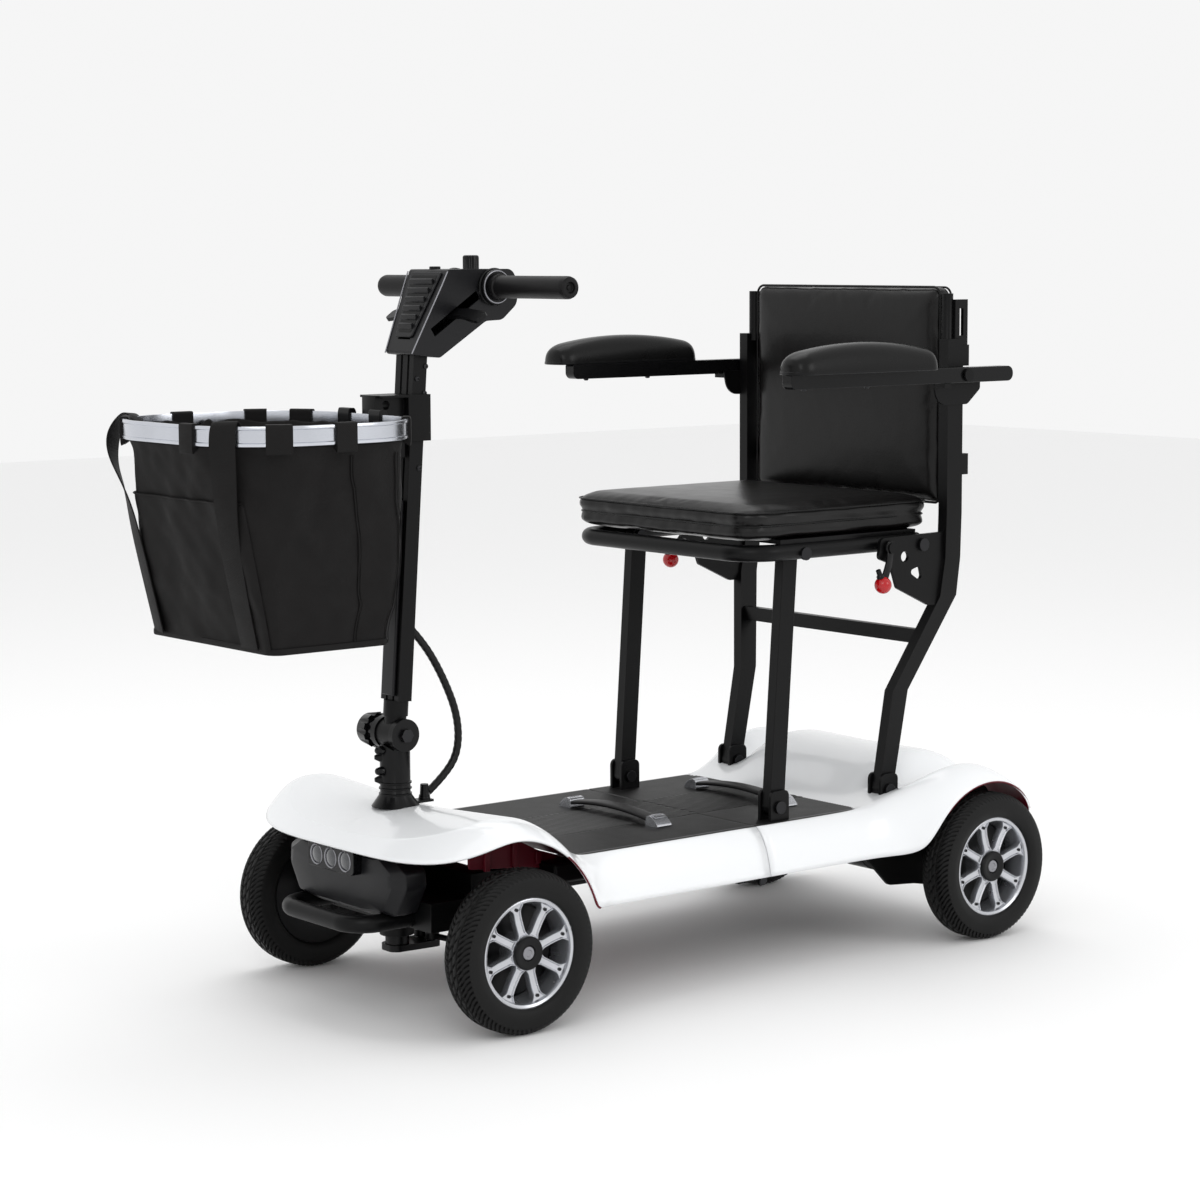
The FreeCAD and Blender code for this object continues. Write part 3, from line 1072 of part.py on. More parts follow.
def seat_back_frame():
    """Bent rear legs that run up as the back posts, with their cross bars."""
    top = ARM_PIVOT_Z + 47
    levels = [(LEG_X, Y_SEAT, FOOT_Z, LEG_DEPTH), (LEG_X, Y_SEAT + 25, FOOT_Z + 132, BACK_DEPTH),
              (POST_X, Y_BACK - 10, FOOT_Z + 262, BACK_DEPTH + 2),
              (POST_X, Y_BACK - 2, FOOT_Z + 312, BACK_DEPTH), (POST_X, Y_BACK, FOOT_Z + 372, BACK_DEPTH),
              (POST_X, Y_BACK, top, BACK_DEPTH)]
    post = leg(levels, LEG_WIDTH)
    cross = box(-LEG_X - 22, LEG_X + 22, Y_SEAT + 41, Y_SEAT + 53, FOOT_Z + 196, FOOT_Z + 215)
    stud = rod((POST_X, Y_BACK, ARM_PIVOT_Z), (ARM_X + ARM_WIDTH / 2 + 1, Y_BACK, ARM_PIVOT_Z), BOLT)
    stud_head = rod((ARM_X + ARM_WIDTH / 2 + SIDE_PLAY, Y_BACK, ARM_PIVOT_Z),
                    (ARM_X + ARM_WIDTH / 2 + 4, Y_BACK, ARM_PIVOT_Z), BOLT + 3)
    face = POST_X + LEG_WIDTH / 2
    bracket = side_profile([(Y_BACK - 44, ARM_PIVOT_Z - 6), (Y_BACK - 36, ARM_PIVOT_Z - 40, 22),
                            (Y_BACK + 20, ARM_PIVOT_Z - 40, 10), (Y_BACK + 44, ARM_PIVOT_Z - 20, 6),
                            (Y_BACK + 44, ARM_PIVOT_Z - 6)], face, face + 2.5)
    stop = box(face, ARM_X + ARM_WIDTH / 2, Y_BACK - 42, Y_BACK - 30,
               ARM_PIVOT_Z - ARM_HEIGHT / 2 - 6, ARM_PIVOT_Z - ARM_HEIGHT / 2 - 0.3)
    upright = rod((POST_X - 8, Y_BACK, top - 10), (POST_X - 8, Y_BACK, BACKREST_TOP_Z - 10), 7.5)
    plate = box(POST_X - 2, POST_X + 3, Y_BACK + 4, Y_BACK + 27, top - 12, BACKREST_TOP_Z - 18)
    plate = plate.cut(box(POST_X - 5, POST_X + 6, Y_BACK + 12, Y_BACK + 19, top + 4,
                          BACKREST_TOP_Z - 30))
    half = fuse(post, leg_eye(LEG_X, Y_SEAT, FOOT_Z), gusset(), stud, stud_head, bracket, stop,
                upright, plate, ear_pair())
    y_bar = Y_BACKREST + BACKREST_THICKNESS
    bars = [box(-POST_X, POST_X, y_bar, y_bar + 4, z - 14, z + 14) for z in BACK_BAR_Z]
    frame = fuse(half, mirrored(half), cross, *bars)
    frame = frame.cut(bolt_hole(Y_SEAT, FOOT_Z, BOLT + RUN))
    return frame.cut(bolt_hole(Y_SEAT_C, SEAT_PIVOT_Z, BOLT + RUN))


Y_BACKREST = Y_SEAT + 66.0               # front face of the backrest
BACK_BAR_Z = (BACKREST_BOTTOM_Z + 45.0, ARM_PIVOT_Z + 25.0)


def ear_pair():
    """Ears on the post that carry the two bars behind the backrest."""
    y_bar = Y_BACKREST + BACKREST_THICKNESS
    ears = [box(POST_X - LEG_WIDTH / 2, POST_X + LEG_WIDTH / 2, Y_BACK, y_bar + 4, z - 14, z + 14)
            for z in BACK_BAR_Z]
    return group(*ears)


def backrest():
    """Padded back, a plain block with round edges."""
    block = box(-BACKREST_HALF, BACKREST_HALF, Y_BACKREST, Y_BACKREST + BACKREST_THICKNESS,
                BACKREST_BOTTOM_Z, BACKREST_TOP_Z)
    return block.makeFillet(10, block.Edges)


def seat_frame():
    """Bent tube with a cross tube and the pan under the cushion."""
    x, z = SEAT_TUBE_X, SEAT_TUBE_Z
    y0, y1 = Y_SEAT_FRONT + SEAT_TUBE, Y_SEAT_C + 14
    loop = round_tube([(x, y1, z), (x, y0, z), (-x, y0, z), (-x, y1, z)], [0, 45, 45, 0], SEAT_TUBE)
    cross = rod((-x, Y_SEAT_C - 16, z), (x, Y_SEAT_C - 16, z), 8)
    pan = box(-x - 4, x + 4, y0 + 50, y1 - 6, z + SEAT_TUBE - 0.5, CUSHION_Z)
    frame = fuse(loop, cross, pan)
    for y in (Y_SEAT_B, Y_SEAT_C):
        frame = frame.cut(bolt_hole(y, SEAT_PIVOT_Z, BOLT))
    return frame


def seat_pivot_bolts():
    """Four bolts that join the seat frame to its legs and gussets, with spacers."""
    tube_in, tube_out = SEAT_TUBE_X - SEAT_TUBE, SEAT_TUBE_X + SEAT_TUBE
    leg_in = LEG_X - LEG_WIDTH / 2 - SIDE_PLAY
    front = headed_bolt(leg_in, tube_out, Y_SEAT_B, SEAT_PIVOT_Z)
    washer = ring((LEG_X + LEG_WIDTH / 2 + SIDE_PLAY, Y_SEAT_B, SEAT_PIVOT_Z),
                  (tube_in + 1.0, Y_SEAT_B, SEAT_PIVOT_Z), BOLT + 3, BOLT)
    plate_out = GUSSET_X + GUSSET_WALL / 2 + SIDE_PLAY
    rear = headed_bolt(tube_in, plate_out, Y_SEAT_C, SEAT_PIVOT_Z)
    sleeve = ring((tube_out, Y_SEAT_C, SEAT_PIVOT_Z),
                  (GUSSET_X - GUSSET_WALL / 2 - SIDE_PLAY, Y_SEAT_C, SEAT_PIVOT_Z), BOLT + 2, BOLT)
    tubes = rod((SEAT_TUBE_X, Y_SEAT_FRONT, SEAT_TUBE_Z), (SEAT_TUBE_X, Y_SEAT_C + 14, SEAT_TUBE_Z),
                SEAT_TUBE)
    shank = fuse(rod((leg_in, Y_SEAT_B, SEAT_PIVOT_Z), (tube_out, Y_SEAT_B, SEAT_PIVOT_Z), BOLT),
                 rod((tube_in, Y_SEAT_C, SEAT_PIVOT_Z), (plate_out, Y_SEAT_C, SEAT_PIVOT_Z), BOLT))
    ends = group(fuse(front, washer), fuse(rear, sleeve))
    outside = ends.cut(tubes)
    return both(fuse(outside, shank))


def seat_cushion():
    """Padded seat, a plain block with round edges."""
    y0 = Y_SEAT_FRONT
    block = plan_profile(symmetric([(CUSHION_HALF, y0, 50),
                                    (CUSHION_HALF, y0 + CUSHION_LENGTH, 6)]),
                         CUSHION_Z, CUSHION_Z + CUSHION_THICKNESS)
    edges = [e for e in block.Edges if abs(e.CenterOfMass.z - CUSHION_Z - CUSHION_THICKNESS) < 0.1
             or abs(e.CenterOfMass.z - CUSHION_Z) < 0.1]
    return block.makeFillet(5, edges)


def armrest_tube():
    """Left armrest's box tube, turning on the stud at the back post."""
    x0, x1 = ARM_X - ARM_WIDTH / 2, ARM_X + ARM_WIDTH / 2
    half = ARM_HEIGHT / 2
    outline = [(Y_BACK - ARM_AHEAD + 3, ARM_PIVOT_Z - half, 9), (Y_BACK + ARM_BEHIND, ARM_PIVOT_Z - half, 9.5),
               (Y_BACK + ARM_BEHIND, ARM_PIVOT_Z + half, 9.5),
               (Y_BACK - ARM_AHEAD + 3, ARM_PIVOT_Z + half, 3)]
    tube = side_profile(outline, x0 + 0.3, x1)
    return tube.cut(rod((x0 - 5, Y_BACK, ARM_PIVOT_Z), (x1 + 5, Y_BACK, ARM_PIVOT_Z), BOLT + RUN))


def armrest_pad():
    """Left armrest's pad, domed on top."""
    z = ARM_PIVOT_Z + ARM_HEIGHT / 2
    y0 = Y_BACK - ARM_AHEAD - 15
    outline = [(y0, z), (y0, z + 14, 8), (y0 + 60, z + PAD_HEIGHT, 60),
               (y0 + PAD_LENGTH - 60, z + PAD_HEIGHT, 60), (y0 + PAD_LENGTH, z + 14, 8),
               (y0 + PAD_LENGTH, z)]
    pad = side_profile(outline, PAD_X - PAD_WIDTH / 2, PAD_X + PAD_WIDTH / 2)
    plan = plan_profile([(PAD_X - PAD_WIDTH / 2, y0, 22), (PAD_X + PAD_WIDTH / 2, y0, 22),
                         (PAD_X + PAD_WIDTH / 2, y0 + PAD_LENGTH, 22),
                         (PAD_X - PAD_WIDTH / 2, y0 + PAD_LENGTH, 22)], z, z + PAD_HEIGHT + 5)
    return pad.common(plan)


def latch_lever():
    """Left seat latch: hook plate with a ball knob."""
    x0 = GUSSET_X + GUSSET_WALL / 2 + 0.8
    y, z = Y_SEAT_C - LATCH_AHEAD, SEAT_PIVOT_Z
    outline = [(y - 9, z + 9, 7), (y + 9, z + 9, 7), (y + 9, z - 9, 6), (y - 14, z - 40, 10),
               (y - 24, z - 55, 4), (y - 38, z - 52, 4), (y - 24, z - 30, 8)]
    plate = side_profile(outline, x0, x0 + 4)
    plate = plate.cut(rod((x0 - 2, y, z), (x0 + 8, y, z), LATCH_PIN + RUN))
    ball_y, ball_z = y - 22, z - 47
    ball = Part.makeSphere(LATCH_BALL, V(x0 + 12, ball_y, ball_z))
    return fuse(plate, ball.cut(box(x0 - 20, x0 + 3, ball_y - 20, ball_y + 20, ball_z - 20, ball_z + 20)))


# ---- parts list -----------------------------------------------------------
def sided(name, shape):
    """The left piece and its mirror image on the right."""
    return {f"{name}_left": shape, f"{name}_right": mirrored(shape)}


def wheels():
    """Tyre and wheel at each corner."""
    parts = {}
    for side, outward in (("left", 1), ("right", -1)):
        x = outward * HALF_TRACK
        for end, y, make in (("front", Y_FRONT, front_wheel), ("rear", Y_REAR, rear_wheel)):
            parts[f"{end}_tyre_{side}"] = tyre(x, y)
            parts[f"{end}_wheel_{side}"] = make(x, outward)
    return parts


def all_parts():
    """Every node of the scooter by name."""
    rear = {"rear_frame": rear_frame(), "rear_cover": rear_cover(), "rear_deck_mat": rear_deck_mat(),
            "seat_feet": seat_feet(), "seat_foot_bolts": seat_foot_bolts(),
            "battery_pack": battery_pack(), "controller": controller(), "transaxle": transaxle(),
            "rear_carry_handle": carry_handle(Y_FOLD + 126), "fold_hinge_pins": fold_hinge_pins()}
    front = {"front_frame": front_frame(), "front_cover": front_cover(),
             "fender_liners": fender_liners(), "front_deck_mat": front_deck_mat(),
             "bumper_panel": bumper_panel(), "tube_bumper": tube_bumper(),
             "headlight_housing": headlight_housing(), "headlight_lenses": headlight_lenses(),
             "front_carry_handle": carry_handle(Y_FOLD - 94)}
    steering = {"steering_column": steering_column(), "pivot_bolt": pivot_bolt(),
                "lock_knob": lock_knob(), "cable_harness": cable_harness(),
                **sided("knuckle", knuckle()), **sided("tie_rod", tie_rod())}
    tiller = {"tiller_joint": tiller_joint(), "tiller_post": tiller_post(),
              "post_plate": post_plate(), "basket_bracket": basket_bracket(),
              "console_shell": console_shell(), "handlebar": handlebar(), "grips": grips(),
              "throttle_lever": throttle_lever(), "speed_knob": speed_knob(),
              "horn_button": horn_button(), "basket_rim": basket_rim(), "basket_bag": basket_bag()}
    seat = {"seat_back_frame": seat_back_frame(), "backrest": backrest(),
            "seat_frame": seat_frame(), "seat_pivot_bolts": seat_pivot_bolts(),
            "seat_cushion": seat_cushion(), "front_legs": front_legs(),
            **sided("armrest_tube", armrest_tube()), **sided("armrest_pad", armrest_pad()),
            **sided("latch_lever", latch_lever())}
    return {**rear, **front, **steering, **tiller, **seat, **wheels()}


def main():
    """Write one STEP file for each node."""
    os.makedirs("parts", exist_ok=True)
    for name, shape in all_parts().items():
        shape.exportStep(f"parts/{name}.step")
        state = "" if shape.isValid() else "NOT VALID"
        print(name, len(shape.Solids), "solids", round(shape.Volume / 1000), "cm3", state)


main()
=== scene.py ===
"""Looks for a folding mobility scooter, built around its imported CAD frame."""

import json
import logging
import math
from collections.abc import Sequence
from dataclasses import dataclass
from enum import Enum

import bmesh
import bpy
import numpy as np
from mathutils import Matrix, Vector

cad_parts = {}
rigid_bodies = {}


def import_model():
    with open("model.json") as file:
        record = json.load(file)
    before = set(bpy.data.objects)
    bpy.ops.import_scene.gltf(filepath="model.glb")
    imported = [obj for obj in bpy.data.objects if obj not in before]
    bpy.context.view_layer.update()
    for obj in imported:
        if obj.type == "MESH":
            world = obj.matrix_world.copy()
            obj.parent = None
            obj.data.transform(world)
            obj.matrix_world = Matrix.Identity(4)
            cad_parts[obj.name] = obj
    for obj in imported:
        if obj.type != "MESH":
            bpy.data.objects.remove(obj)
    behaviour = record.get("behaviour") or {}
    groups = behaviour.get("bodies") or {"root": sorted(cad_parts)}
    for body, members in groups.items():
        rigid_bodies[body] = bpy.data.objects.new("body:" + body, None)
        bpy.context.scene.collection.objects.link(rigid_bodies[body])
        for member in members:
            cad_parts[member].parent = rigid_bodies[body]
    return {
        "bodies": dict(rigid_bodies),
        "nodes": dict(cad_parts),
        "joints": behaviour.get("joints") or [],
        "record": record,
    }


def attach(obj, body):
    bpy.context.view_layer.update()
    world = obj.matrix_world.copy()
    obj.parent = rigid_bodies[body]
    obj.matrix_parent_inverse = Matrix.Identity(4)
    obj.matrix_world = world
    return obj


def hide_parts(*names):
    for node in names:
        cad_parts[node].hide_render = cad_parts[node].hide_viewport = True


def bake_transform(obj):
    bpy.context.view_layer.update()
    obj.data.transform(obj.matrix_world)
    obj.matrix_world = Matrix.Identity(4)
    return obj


LOG = logging.getLogger("scooter")
MM = 0.001

# Places that several sub-assemblies share, in mm.
BAR_Y, BAR_Z = -163.0, 887.0
STEER_Y = -292.0
WHEEL_X, FRONT_AXLE_Y, REAR_AXLE_Y = 227.0, -272.0, 518.0
MAT_FRONT_Y, FRONT_FOLD_Y, REAR_FOLD_Y, MAT_REAR_Y = -137, 151, 153, 340
DECK_Z = 190.0

COAT_ROUGHNESS = 0.08
BEVEL_FROM_DEGREES = 35.0
MERGE_METRES = 0.00001
COPY_MERGE_METRES = 0.00002

Points = np.ndarray | Sequence
Nodes = bpy.types.Nodes
Links = bpy.types.NodeLinks
Socket = bpy.types.NodeSocket


# ---- finishes -------------------------------------------------------------
class Relief(Enum):
    """What the fine surface of a finish looks like."""

    SMOOTH = "smooth"
    GRAIN = "grain"
    LEATHER = "leather"
    WEAVE = "weave"
    BRUSHED = "brushed"


@dataclass(frozen=True)
class Finish:
    """A surface finish, and the record's material slot it stands for."""

    name: str
    slot: str
    colour: tuple[float, float, float]
    roughness: float
    metallic: float = 0.0
    coat: float = 0.0
    sheen: float = 0.0
    relief: Relief = Relief.GRAIN
    pitch_mm: float = 0.6
    depth_mm: float = 0.05
    tint: float = 0.12
    tint_pitch_mm: float = 60.0
    transmission: float = 0.0
    specular: float = 0.5

    def material(self) -> bpy.types.Material:
        """The node material of this finish, made once.

        Returns:
            The Blender material.
        """
        found = bpy.data.materials.get(self.name)
        if found is not None:
            return found
        material = bpy.data.materials.new(self.name)
        material.use_nodes = True
        nodes, links = material.node_tree.nodes, material.node_tree.links
        shader = nodes["Principled BSDF"]
        shader.inputs["Metallic"].default_value = self.metallic
        shader.inputs["Coat Weight"].default_value = self.coat
        shader.inputs["Coat Roughness"].default_value = COAT_ROUGHNESS
        shader.inputs["Sheen Weight"].default_value = self.sheen
        shader.inputs["Transmission Weight"].default_value = self.transmission
        shader.inputs["Specular IOR Level"].default_value = self.specular
        place = nodes.new("ShaderNodeTexCoord").outputs["Object"]
        self._colour(nodes, links, shader, place)
        self._roughness(nodes, links, shader, place)
        height = self._height(nodes, links, place)
        if height is not None:
            bump = nodes.new("ShaderNodeBump")
            bump.inputs["Distance"].default_value = self.depth_mm * MM
            bump.inputs["Strength"].default_value = 1.0
            links.new(height, bump.inputs["Height"])
            links.new(bump.outputs["Normal"], shader.inputs["Normal"])
        return material

    def _noise(self, nodes: Nodes, links: Links, place: Socket, pitch_mm: float, detail: float = 2.0,
               stretch: tuple[float, float, float] = (1.0, 1.0, 1.0)) -> Socket:
        """Noise of a given pitch on object coordinates.

        Args:
            nodes: The material's nodes.
            links: The material's links.
            place: Object coordinates.
            pitch_mm: Size of the grain.
            detail: Octaves of finer grain.
            stretch: Scale on each axis, below one along a brushed line.

        Returns:
            The noise, from 0 to 1.
        """
        mapping = nodes.new("ShaderNodeMapping")
        mapping.inputs["Scale"].default_value = stretch
        links.new(place, mapping.inputs["Vector"])
        noise = nodes.new("ShaderNodeTexNoise")
        noise.inputs["Scale"].default_value = 1.0 / (pitch_mm * MM)
        noise.inputs["Detail"].default_value = detail
        links.new(mapping.outputs["Vector"], noise.inputs["Vector"])
        return noise.outputs["Fac"]

    def _colour(self, nodes: Nodes, links: Links, shader: bpy.types.ShaderNode, place: Socket) -> None:
        """Slow drift between a darker and a lighter shade of the colour.

        Args:
            nodes: The material's nodes.
            links: The material's links.
            shader: The shader that is set.
            place: Object coordinates.
        """
        ramp = nodes.new("ShaderNodeMix")
        ramp.data_type = "RGBA"
        low = [c * (1 - self.tint) for c in self.colour]
        high = [min(1.0, c * (1 + self.tint)) for c in self.colour]
        ramp.inputs["A"].default_value = (*low, 1.0)
        ramp.inputs["B"].default_value = (*high, 1.0)
        links.new(self._noise(nodes, links, place, self.tint_pitch_mm, 4.0), ramp.inputs["Factor"])
        links.new(ramp.outputs["Result"], shader.inputs["Base Color"])

    def _roughness(self, nodes: Nodes, links: Links, shader: bpy.types.ShaderNode, place: Socket) -> None:
        """Roughness that wanders a little, as handled surfaces do.

        Args:
            nodes: The material's nodes.
            links: The material's links.
            shader: The shader that is set.
            place: Object coordinates.
        """
        spread = nodes.new("ShaderNodeMapRange")
        spread.inputs["To Min"].default_value = self.roughness * 0.86
        spread.inputs["To Max"].default_value = min(1.0, self.roughness * 1.14)
        noise = self._noise(nodes, links, place, self.tint_pitch_mm * 0.4, 3.0)
        links.new(noise, spread.inputs["Value"])
        links.new(spread.outputs["Result"], shader.inputs["Roughness"])

    def _height(self, nodes: Nodes, links: Links, place: Socket) -> Socket | None:
        """The height that gives the finish its grain, leather, weave or brushing.

        Args:
            nodes: The material's nodes.
            links: The material's links.
            place: Object coordinates.

        Returns:
            The height, or None for a smooth finish.
        """
        if self.relief is Relief.SMOOTH:
            return None
        if self.relief is Relief.GRAIN:
            return self._noise(nodes, links, place, self.pitch_mm)
        if self.relief is Relief.BRUSHED:
            return self._noise(nodes, links, place, self.pitch_mm, 3.0, (0.03, 0.03, 1.0))
        if self.relief is Relief.LEATHER:
            return self._leather(nodes, links, place)
        return self._weave(nodes, links, place)

    def _leather(self, nodes: Nodes, links: Links, place: Socket) -> Socket:
        """Pebbled cells with soft wider wrinkles between them.

        Args:
            nodes: The material's nodes.
            links: The material's links.
            place: Object coordinates.

        Returns:
            The height.
        """
        cells = nodes.new("ShaderNodeTexVoronoi")
        cells.feature = "SMOOTH_F1"
        cells.inputs["Scale"].default_value = 1.0 / (self.pitch_mm * MM)
        links.new(place, cells.inputs["Vector"])
        total = nodes.new("ShaderNodeMath")
        total.operation = "MULTIPLY_ADD"
        total.inputs[1].default_value = 2.5
        wrinkles = self._noise(nodes, links, place, self.pitch_mm * 12, 4.0)
        links.new(wrinkles, total.inputs[0])
        links.new(cells.outputs["Distance"], total.inputs[2])
        return total.outputs[0]

    def _weave(self, nodes: Nodes, links: Links, place: Socket) -> Socket:
        """Warp and weft as the greater of level and upright bands.

        Args:
            nodes: The material's nodes.
            links: The material's links.
            place: Object coordinates.

        Returns:
            The height.
        """
        bands = []
        for axis in ("DIAGONAL", "Z"):
            wave = nodes.new("ShaderNodeTexWave")
            wave.bands_direction = axis
            wave.inputs["Scale"].default_value = 0.314 / (self.pitch_mm * MM)
            wave.inputs["Distortion"].default_value = 0.6
            links.new(place, wave.inputs["Vector"])
            bands.append(wave.outputs["Fac"])
        both = nodes.new("ShaderNodeMath")
        both.operation = "MAXIMUM"
        links.new(bands[0], both.inputs[0])
        links.new(bands[1], both.inputs[1])
        return both.outputs[0]


WHITE_SHELL = Finish("white_shell", "cover_white", (0.90, 0.915, 0.93), 0.20, coat=0.5,
                     relief=Relief.GRAIN, pitch_mm=14, depth_mm=0.02, tint=0.015, tint_pitch_mm=200)
RED_LINER = Finish("red_liner", "liner_red", (0.115, 0.003, 0.012), 0.45, pitch_mm=1.2,
                   specular=0.3)
BLACK_COAT = Finish("black_powder_coat", "frame_black", (0.0028, 0.0028, 0.003), 0.36,
                    pitch_mm=0.9, depth_mm=0.04, specular=0.16)
BLACK_TUBE = Finish("black_tube_paint", "frame_black", (0.0025, 0.0025, 0.0028), 0.24,
                    pitch_mm=1.5, depth_mm=0.02, specular=0.22)
DARK_BOLT = Finish("dark_plated_steel", "bolt_steel", (0.03, 0.03, 0.032), 0.3, metallic=0.9,
                   pitch_mm=0.5, depth_mm=0.02)
DECK_RUBBER = Finish("deck_rubber", "mat_rubber", (0.006, 0.0057, 0.0057), 0.42, pitch_mm=0.8,
                     depth_mm=0.1, tint=0.25, specular=0.4)
GRIP_RUBBER = Finish("grip_rubber", "mat_rubber", (0.005, 0.0046, 0.005), 0.45, pitch_mm=0.7,
                     depth_mm=0.08, specular=0.18)
CABLE_WRAP = Finish("cable_wrap", "mat_rubber", (0.004, 0.004, 0.004), 0.32, pitch_mm=0.8,
                    specular=0.25)
DARK_CASE = Finish("dark_moulding", "case_black", (0.0065, 0.0065, 0.0076), 0.36, pitch_mm=0.7,
                   depth_mm=0.06, specular=0.25)
BLACK_CASE = Finish("black_moulding", "case_black", (0.0032, 0.0032, 0.0036), 0.3, pitch_mm=0.7,
                    depth_mm=0.05, specular=0.2)
GLOSS_CASE = Finish("gloss_black_moulding", "case_black", (0.0022, 0.0022, 0.0026), 0.10,
                    relief=Relief.SMOOTH, specular=0.24)
TRIM_LINE = Finish("satin_trim", "case_black", (0.26, 0.26, 0.28), 0.24, metallic=0.6,
                   relief=Relief.SMOOTH)
PAD_SKIN = Finish("pad_skin", "case_black", (0.0028, 0.0028, 0.0028), 0.28, relief=Relief.LEATHER,
                  pitch_mm=1.1, depth_mm=0.04, specular=0.2)
LENS = Finish("lamp_lens", "lens_clear", (0.03, 0.033, 0.038), 0.05, coat=0.6, specular=0.6,
              relief=Relief.SMOOTH, tint=0.0)
RED_BALL = Finish("red_ball", "latch_red", (0.42, 0.001, 0.004), 0.16, coat=0.15,
                  relief=Relief.SMOOTH, tint=0.05)
RIM_ALUMINIUM = Finish("rim_aluminium", "basket_alu", (0.60, 0.62, 0.67), 0.24, metallic=1.0,
                       relief=Relief.BRUSHED, pitch_mm=0.5, depth_mm=0.02)
BAG_FABRIC = Finish("bag_fabric", "basket_fabric", (0.0055, 0.0049, 0.0049), 0.7,
                    relief=Relief.WEAVE, pitch_mm=1.3, depth_mm=0.16, tint=0.3, specular=0.18)
STRAP_WEB = Finish("strap_webbing", "basket_fabric", (0.0048, 0.0043, 0.0043), 0.62,
                   relief=Relief.WEAVE, pitch_mm=1.6, depth_mm=0.28, specular=0.18)
LEATHER = Finish("seat_leather", "cushion_black", (0.0032, 0.0029, 0.0029), 0.3,
                 relief=Relief.LEATHER, pitch_mm=1.6, depth_mm=0.08, tint=0.2, specular=0.26)
TYRE_RUBBER = Finish("tyre_rubber", "tyre_black", (0.0045, 0.0045, 0.0045), 0.5, pitch_mm=0.9,
                     depth_mm=0.08, tint=0.2, specular=0.2)
WHEEL_SILVER = Finish("wheel_silver_paint", "wheel_silver", (0.56, 0.57, 0.60), 0.26,
                      metallic=0.9, pitch_mm=0.8, depth_mm=0.01, tint=0.05)
HUB_BLACK = Finish("hub_black", "wheel_silver", (0.0035, 0.0035, 0.004), 0.34, pitch_mm=0.7,
                   specular=0.2)


# ---- surfaces -------------------------------------------------------------
@dataclass
class Shape:
    """Points and faces of a mesh, in metres."""

    points: np.ndarray
    faces: list[tuple[int, ...]]

    def __add__(self, other: "Shape") -> "Shape":
        """Both shapes as one."""
        shift = len(self.points)
        moved = [tuple(i + shift for i in face) for face in other.faces]
        return Shape(np.concatenate([self.points, other.points]), self.faces + moved)

    def mirrored(self) -> "Shape":
        """The same shape on the other side of x = 0, its faces turned back outwards."""
        return Shape(self.points * (-1, 1, 1), [face[::-1] for face in self.faces])

    def both(self) -> "Shape":
        """The shape and its mirror image."""
        return self + self.mirrored()

    def moved(self, x: float = 0.0, y: float = 0.0, z: float = 0.0) -> "Shape":
        """The shape shifted, in metres."""
        return Shape(self.points + (x, y, z), self.faces)

    def turned(self, degrees: float, axis: str, pivot: tuple[float, float, float]) -> "Shape":
        """The shape turned about an axis through a pivot."""
        matrix = np.array(Matrix.Rotation(math.radians(degrees), 3, axis))
        return Shape((self.points - pivot) @ matrix.T + pivot, self.faces)


def surface(net: np.ndarray, wrap_rows: bool = False, wrap_cols: bool = False,
            cap: bool = False) -> Shape:
    """Quads over a grid of points, point (i, j) joined to its next in each direction.

    Args:
        net: Points, rows by columns by 3.
        wrap_rows: Whether the last row joins the first.
        wrap_cols: Whether the last column joins the first.
        cap: Whether the first and last rows are closed with a face.

    Returns:
        The surface.
    """
    rows, cols = net.shape[:2]
    i, j = np.meshgrid(np.arange(rows if wrap_rows else rows - 1),
                       np.arange(cols if wrap_cols else cols - 1), indexing="ij")
    i2, j2 = (i + 1) % rows, (j + 1) % cols
    quads = np.stack([i * cols + j, i * cols + j2, i2 * cols + j2, i2 * cols + j], -1)
    faces = [tuple(q) for q in quads.reshape(-1, 4).tolist()]
    if cap:
        faces.append(tuple(range(cols))[::-1])
        faces.append(tuple(range((rows - 1) * cols, rows * cols)))
    return Shape(net.reshape(-1, 3).astype(float), faces)


def spline_weights(count: int, samples: int) -> np.ndarray:
    """Clamped cubic B-spline weights, by the Cox-de Boor recurrence.

    Args:
        count: Number of control points.
        samples: Number of points along the curve.

    Returns:
        One row of weights for each sample.
    """
    degree = min(3, count - 1)
    inner = np.linspace(0, 1, count - degree + 1)
    knots = np.concatenate([np.zeros(degree), inner, np.ones(degree)])
    t = np.linspace(0, 1, samples)[:, None]
    t = np.minimum(t, 1 - 1e-9)
    weights = ((t >= knots[:-1]) & (t < knots[1:])).astype(float)
    for step in range(1, degree + 1):
        left = knots[step:-1] - knots[:-step - 1]
        right = knots[step + 1:] - knots[1:-step]
        a = np.where(left > 0, (t - knots[:-step - 1]) / np.where(left > 0, left, 1), 0)
        b = np.where(right > 0, (knots[step + 1:] - t) / np.where(right > 0, right, 1), 0)
        weights = a * weights[:, :-1] + b * weights[:, 1:]
    return weights


def spline(points: Points, samples: int) -> np.ndarray:
    """A smooth curve near its control points: weights times points."""
    points = np.asarray(points, float)
    return spline_weights(len(points), samples) @ points


def spline_net(net: Points, rows: int, cols: int) -> np.ndarray:
    """A smooth skin near a net of control points: weights by rows and by columns.

    Args:
        net: Control points, rows by columns by 3.
        rows: Rows of points wanted.
        cols: Columns of points wanted.

    Returns:
        Points, rows by columns by 3.
    """
    net = np.asarray(net, float)
    along = spline_weights(net.shape[0], rows)
    across = spline_weights(net.shape[1], cols)
    return np.einsum("ui,ijk,vj->uvk", along, net, across)


def ring_points(radius: float, segments: int) -> np.ndarray:
    """Points of a circle: radius times cosine and sine of equal steps."""
    angle = np.linspace(0, 2 * np.pi, segments, endpoint=False)
    return np.stack([radius * np.cos(angle), radius * np.sin(angle)], -1)


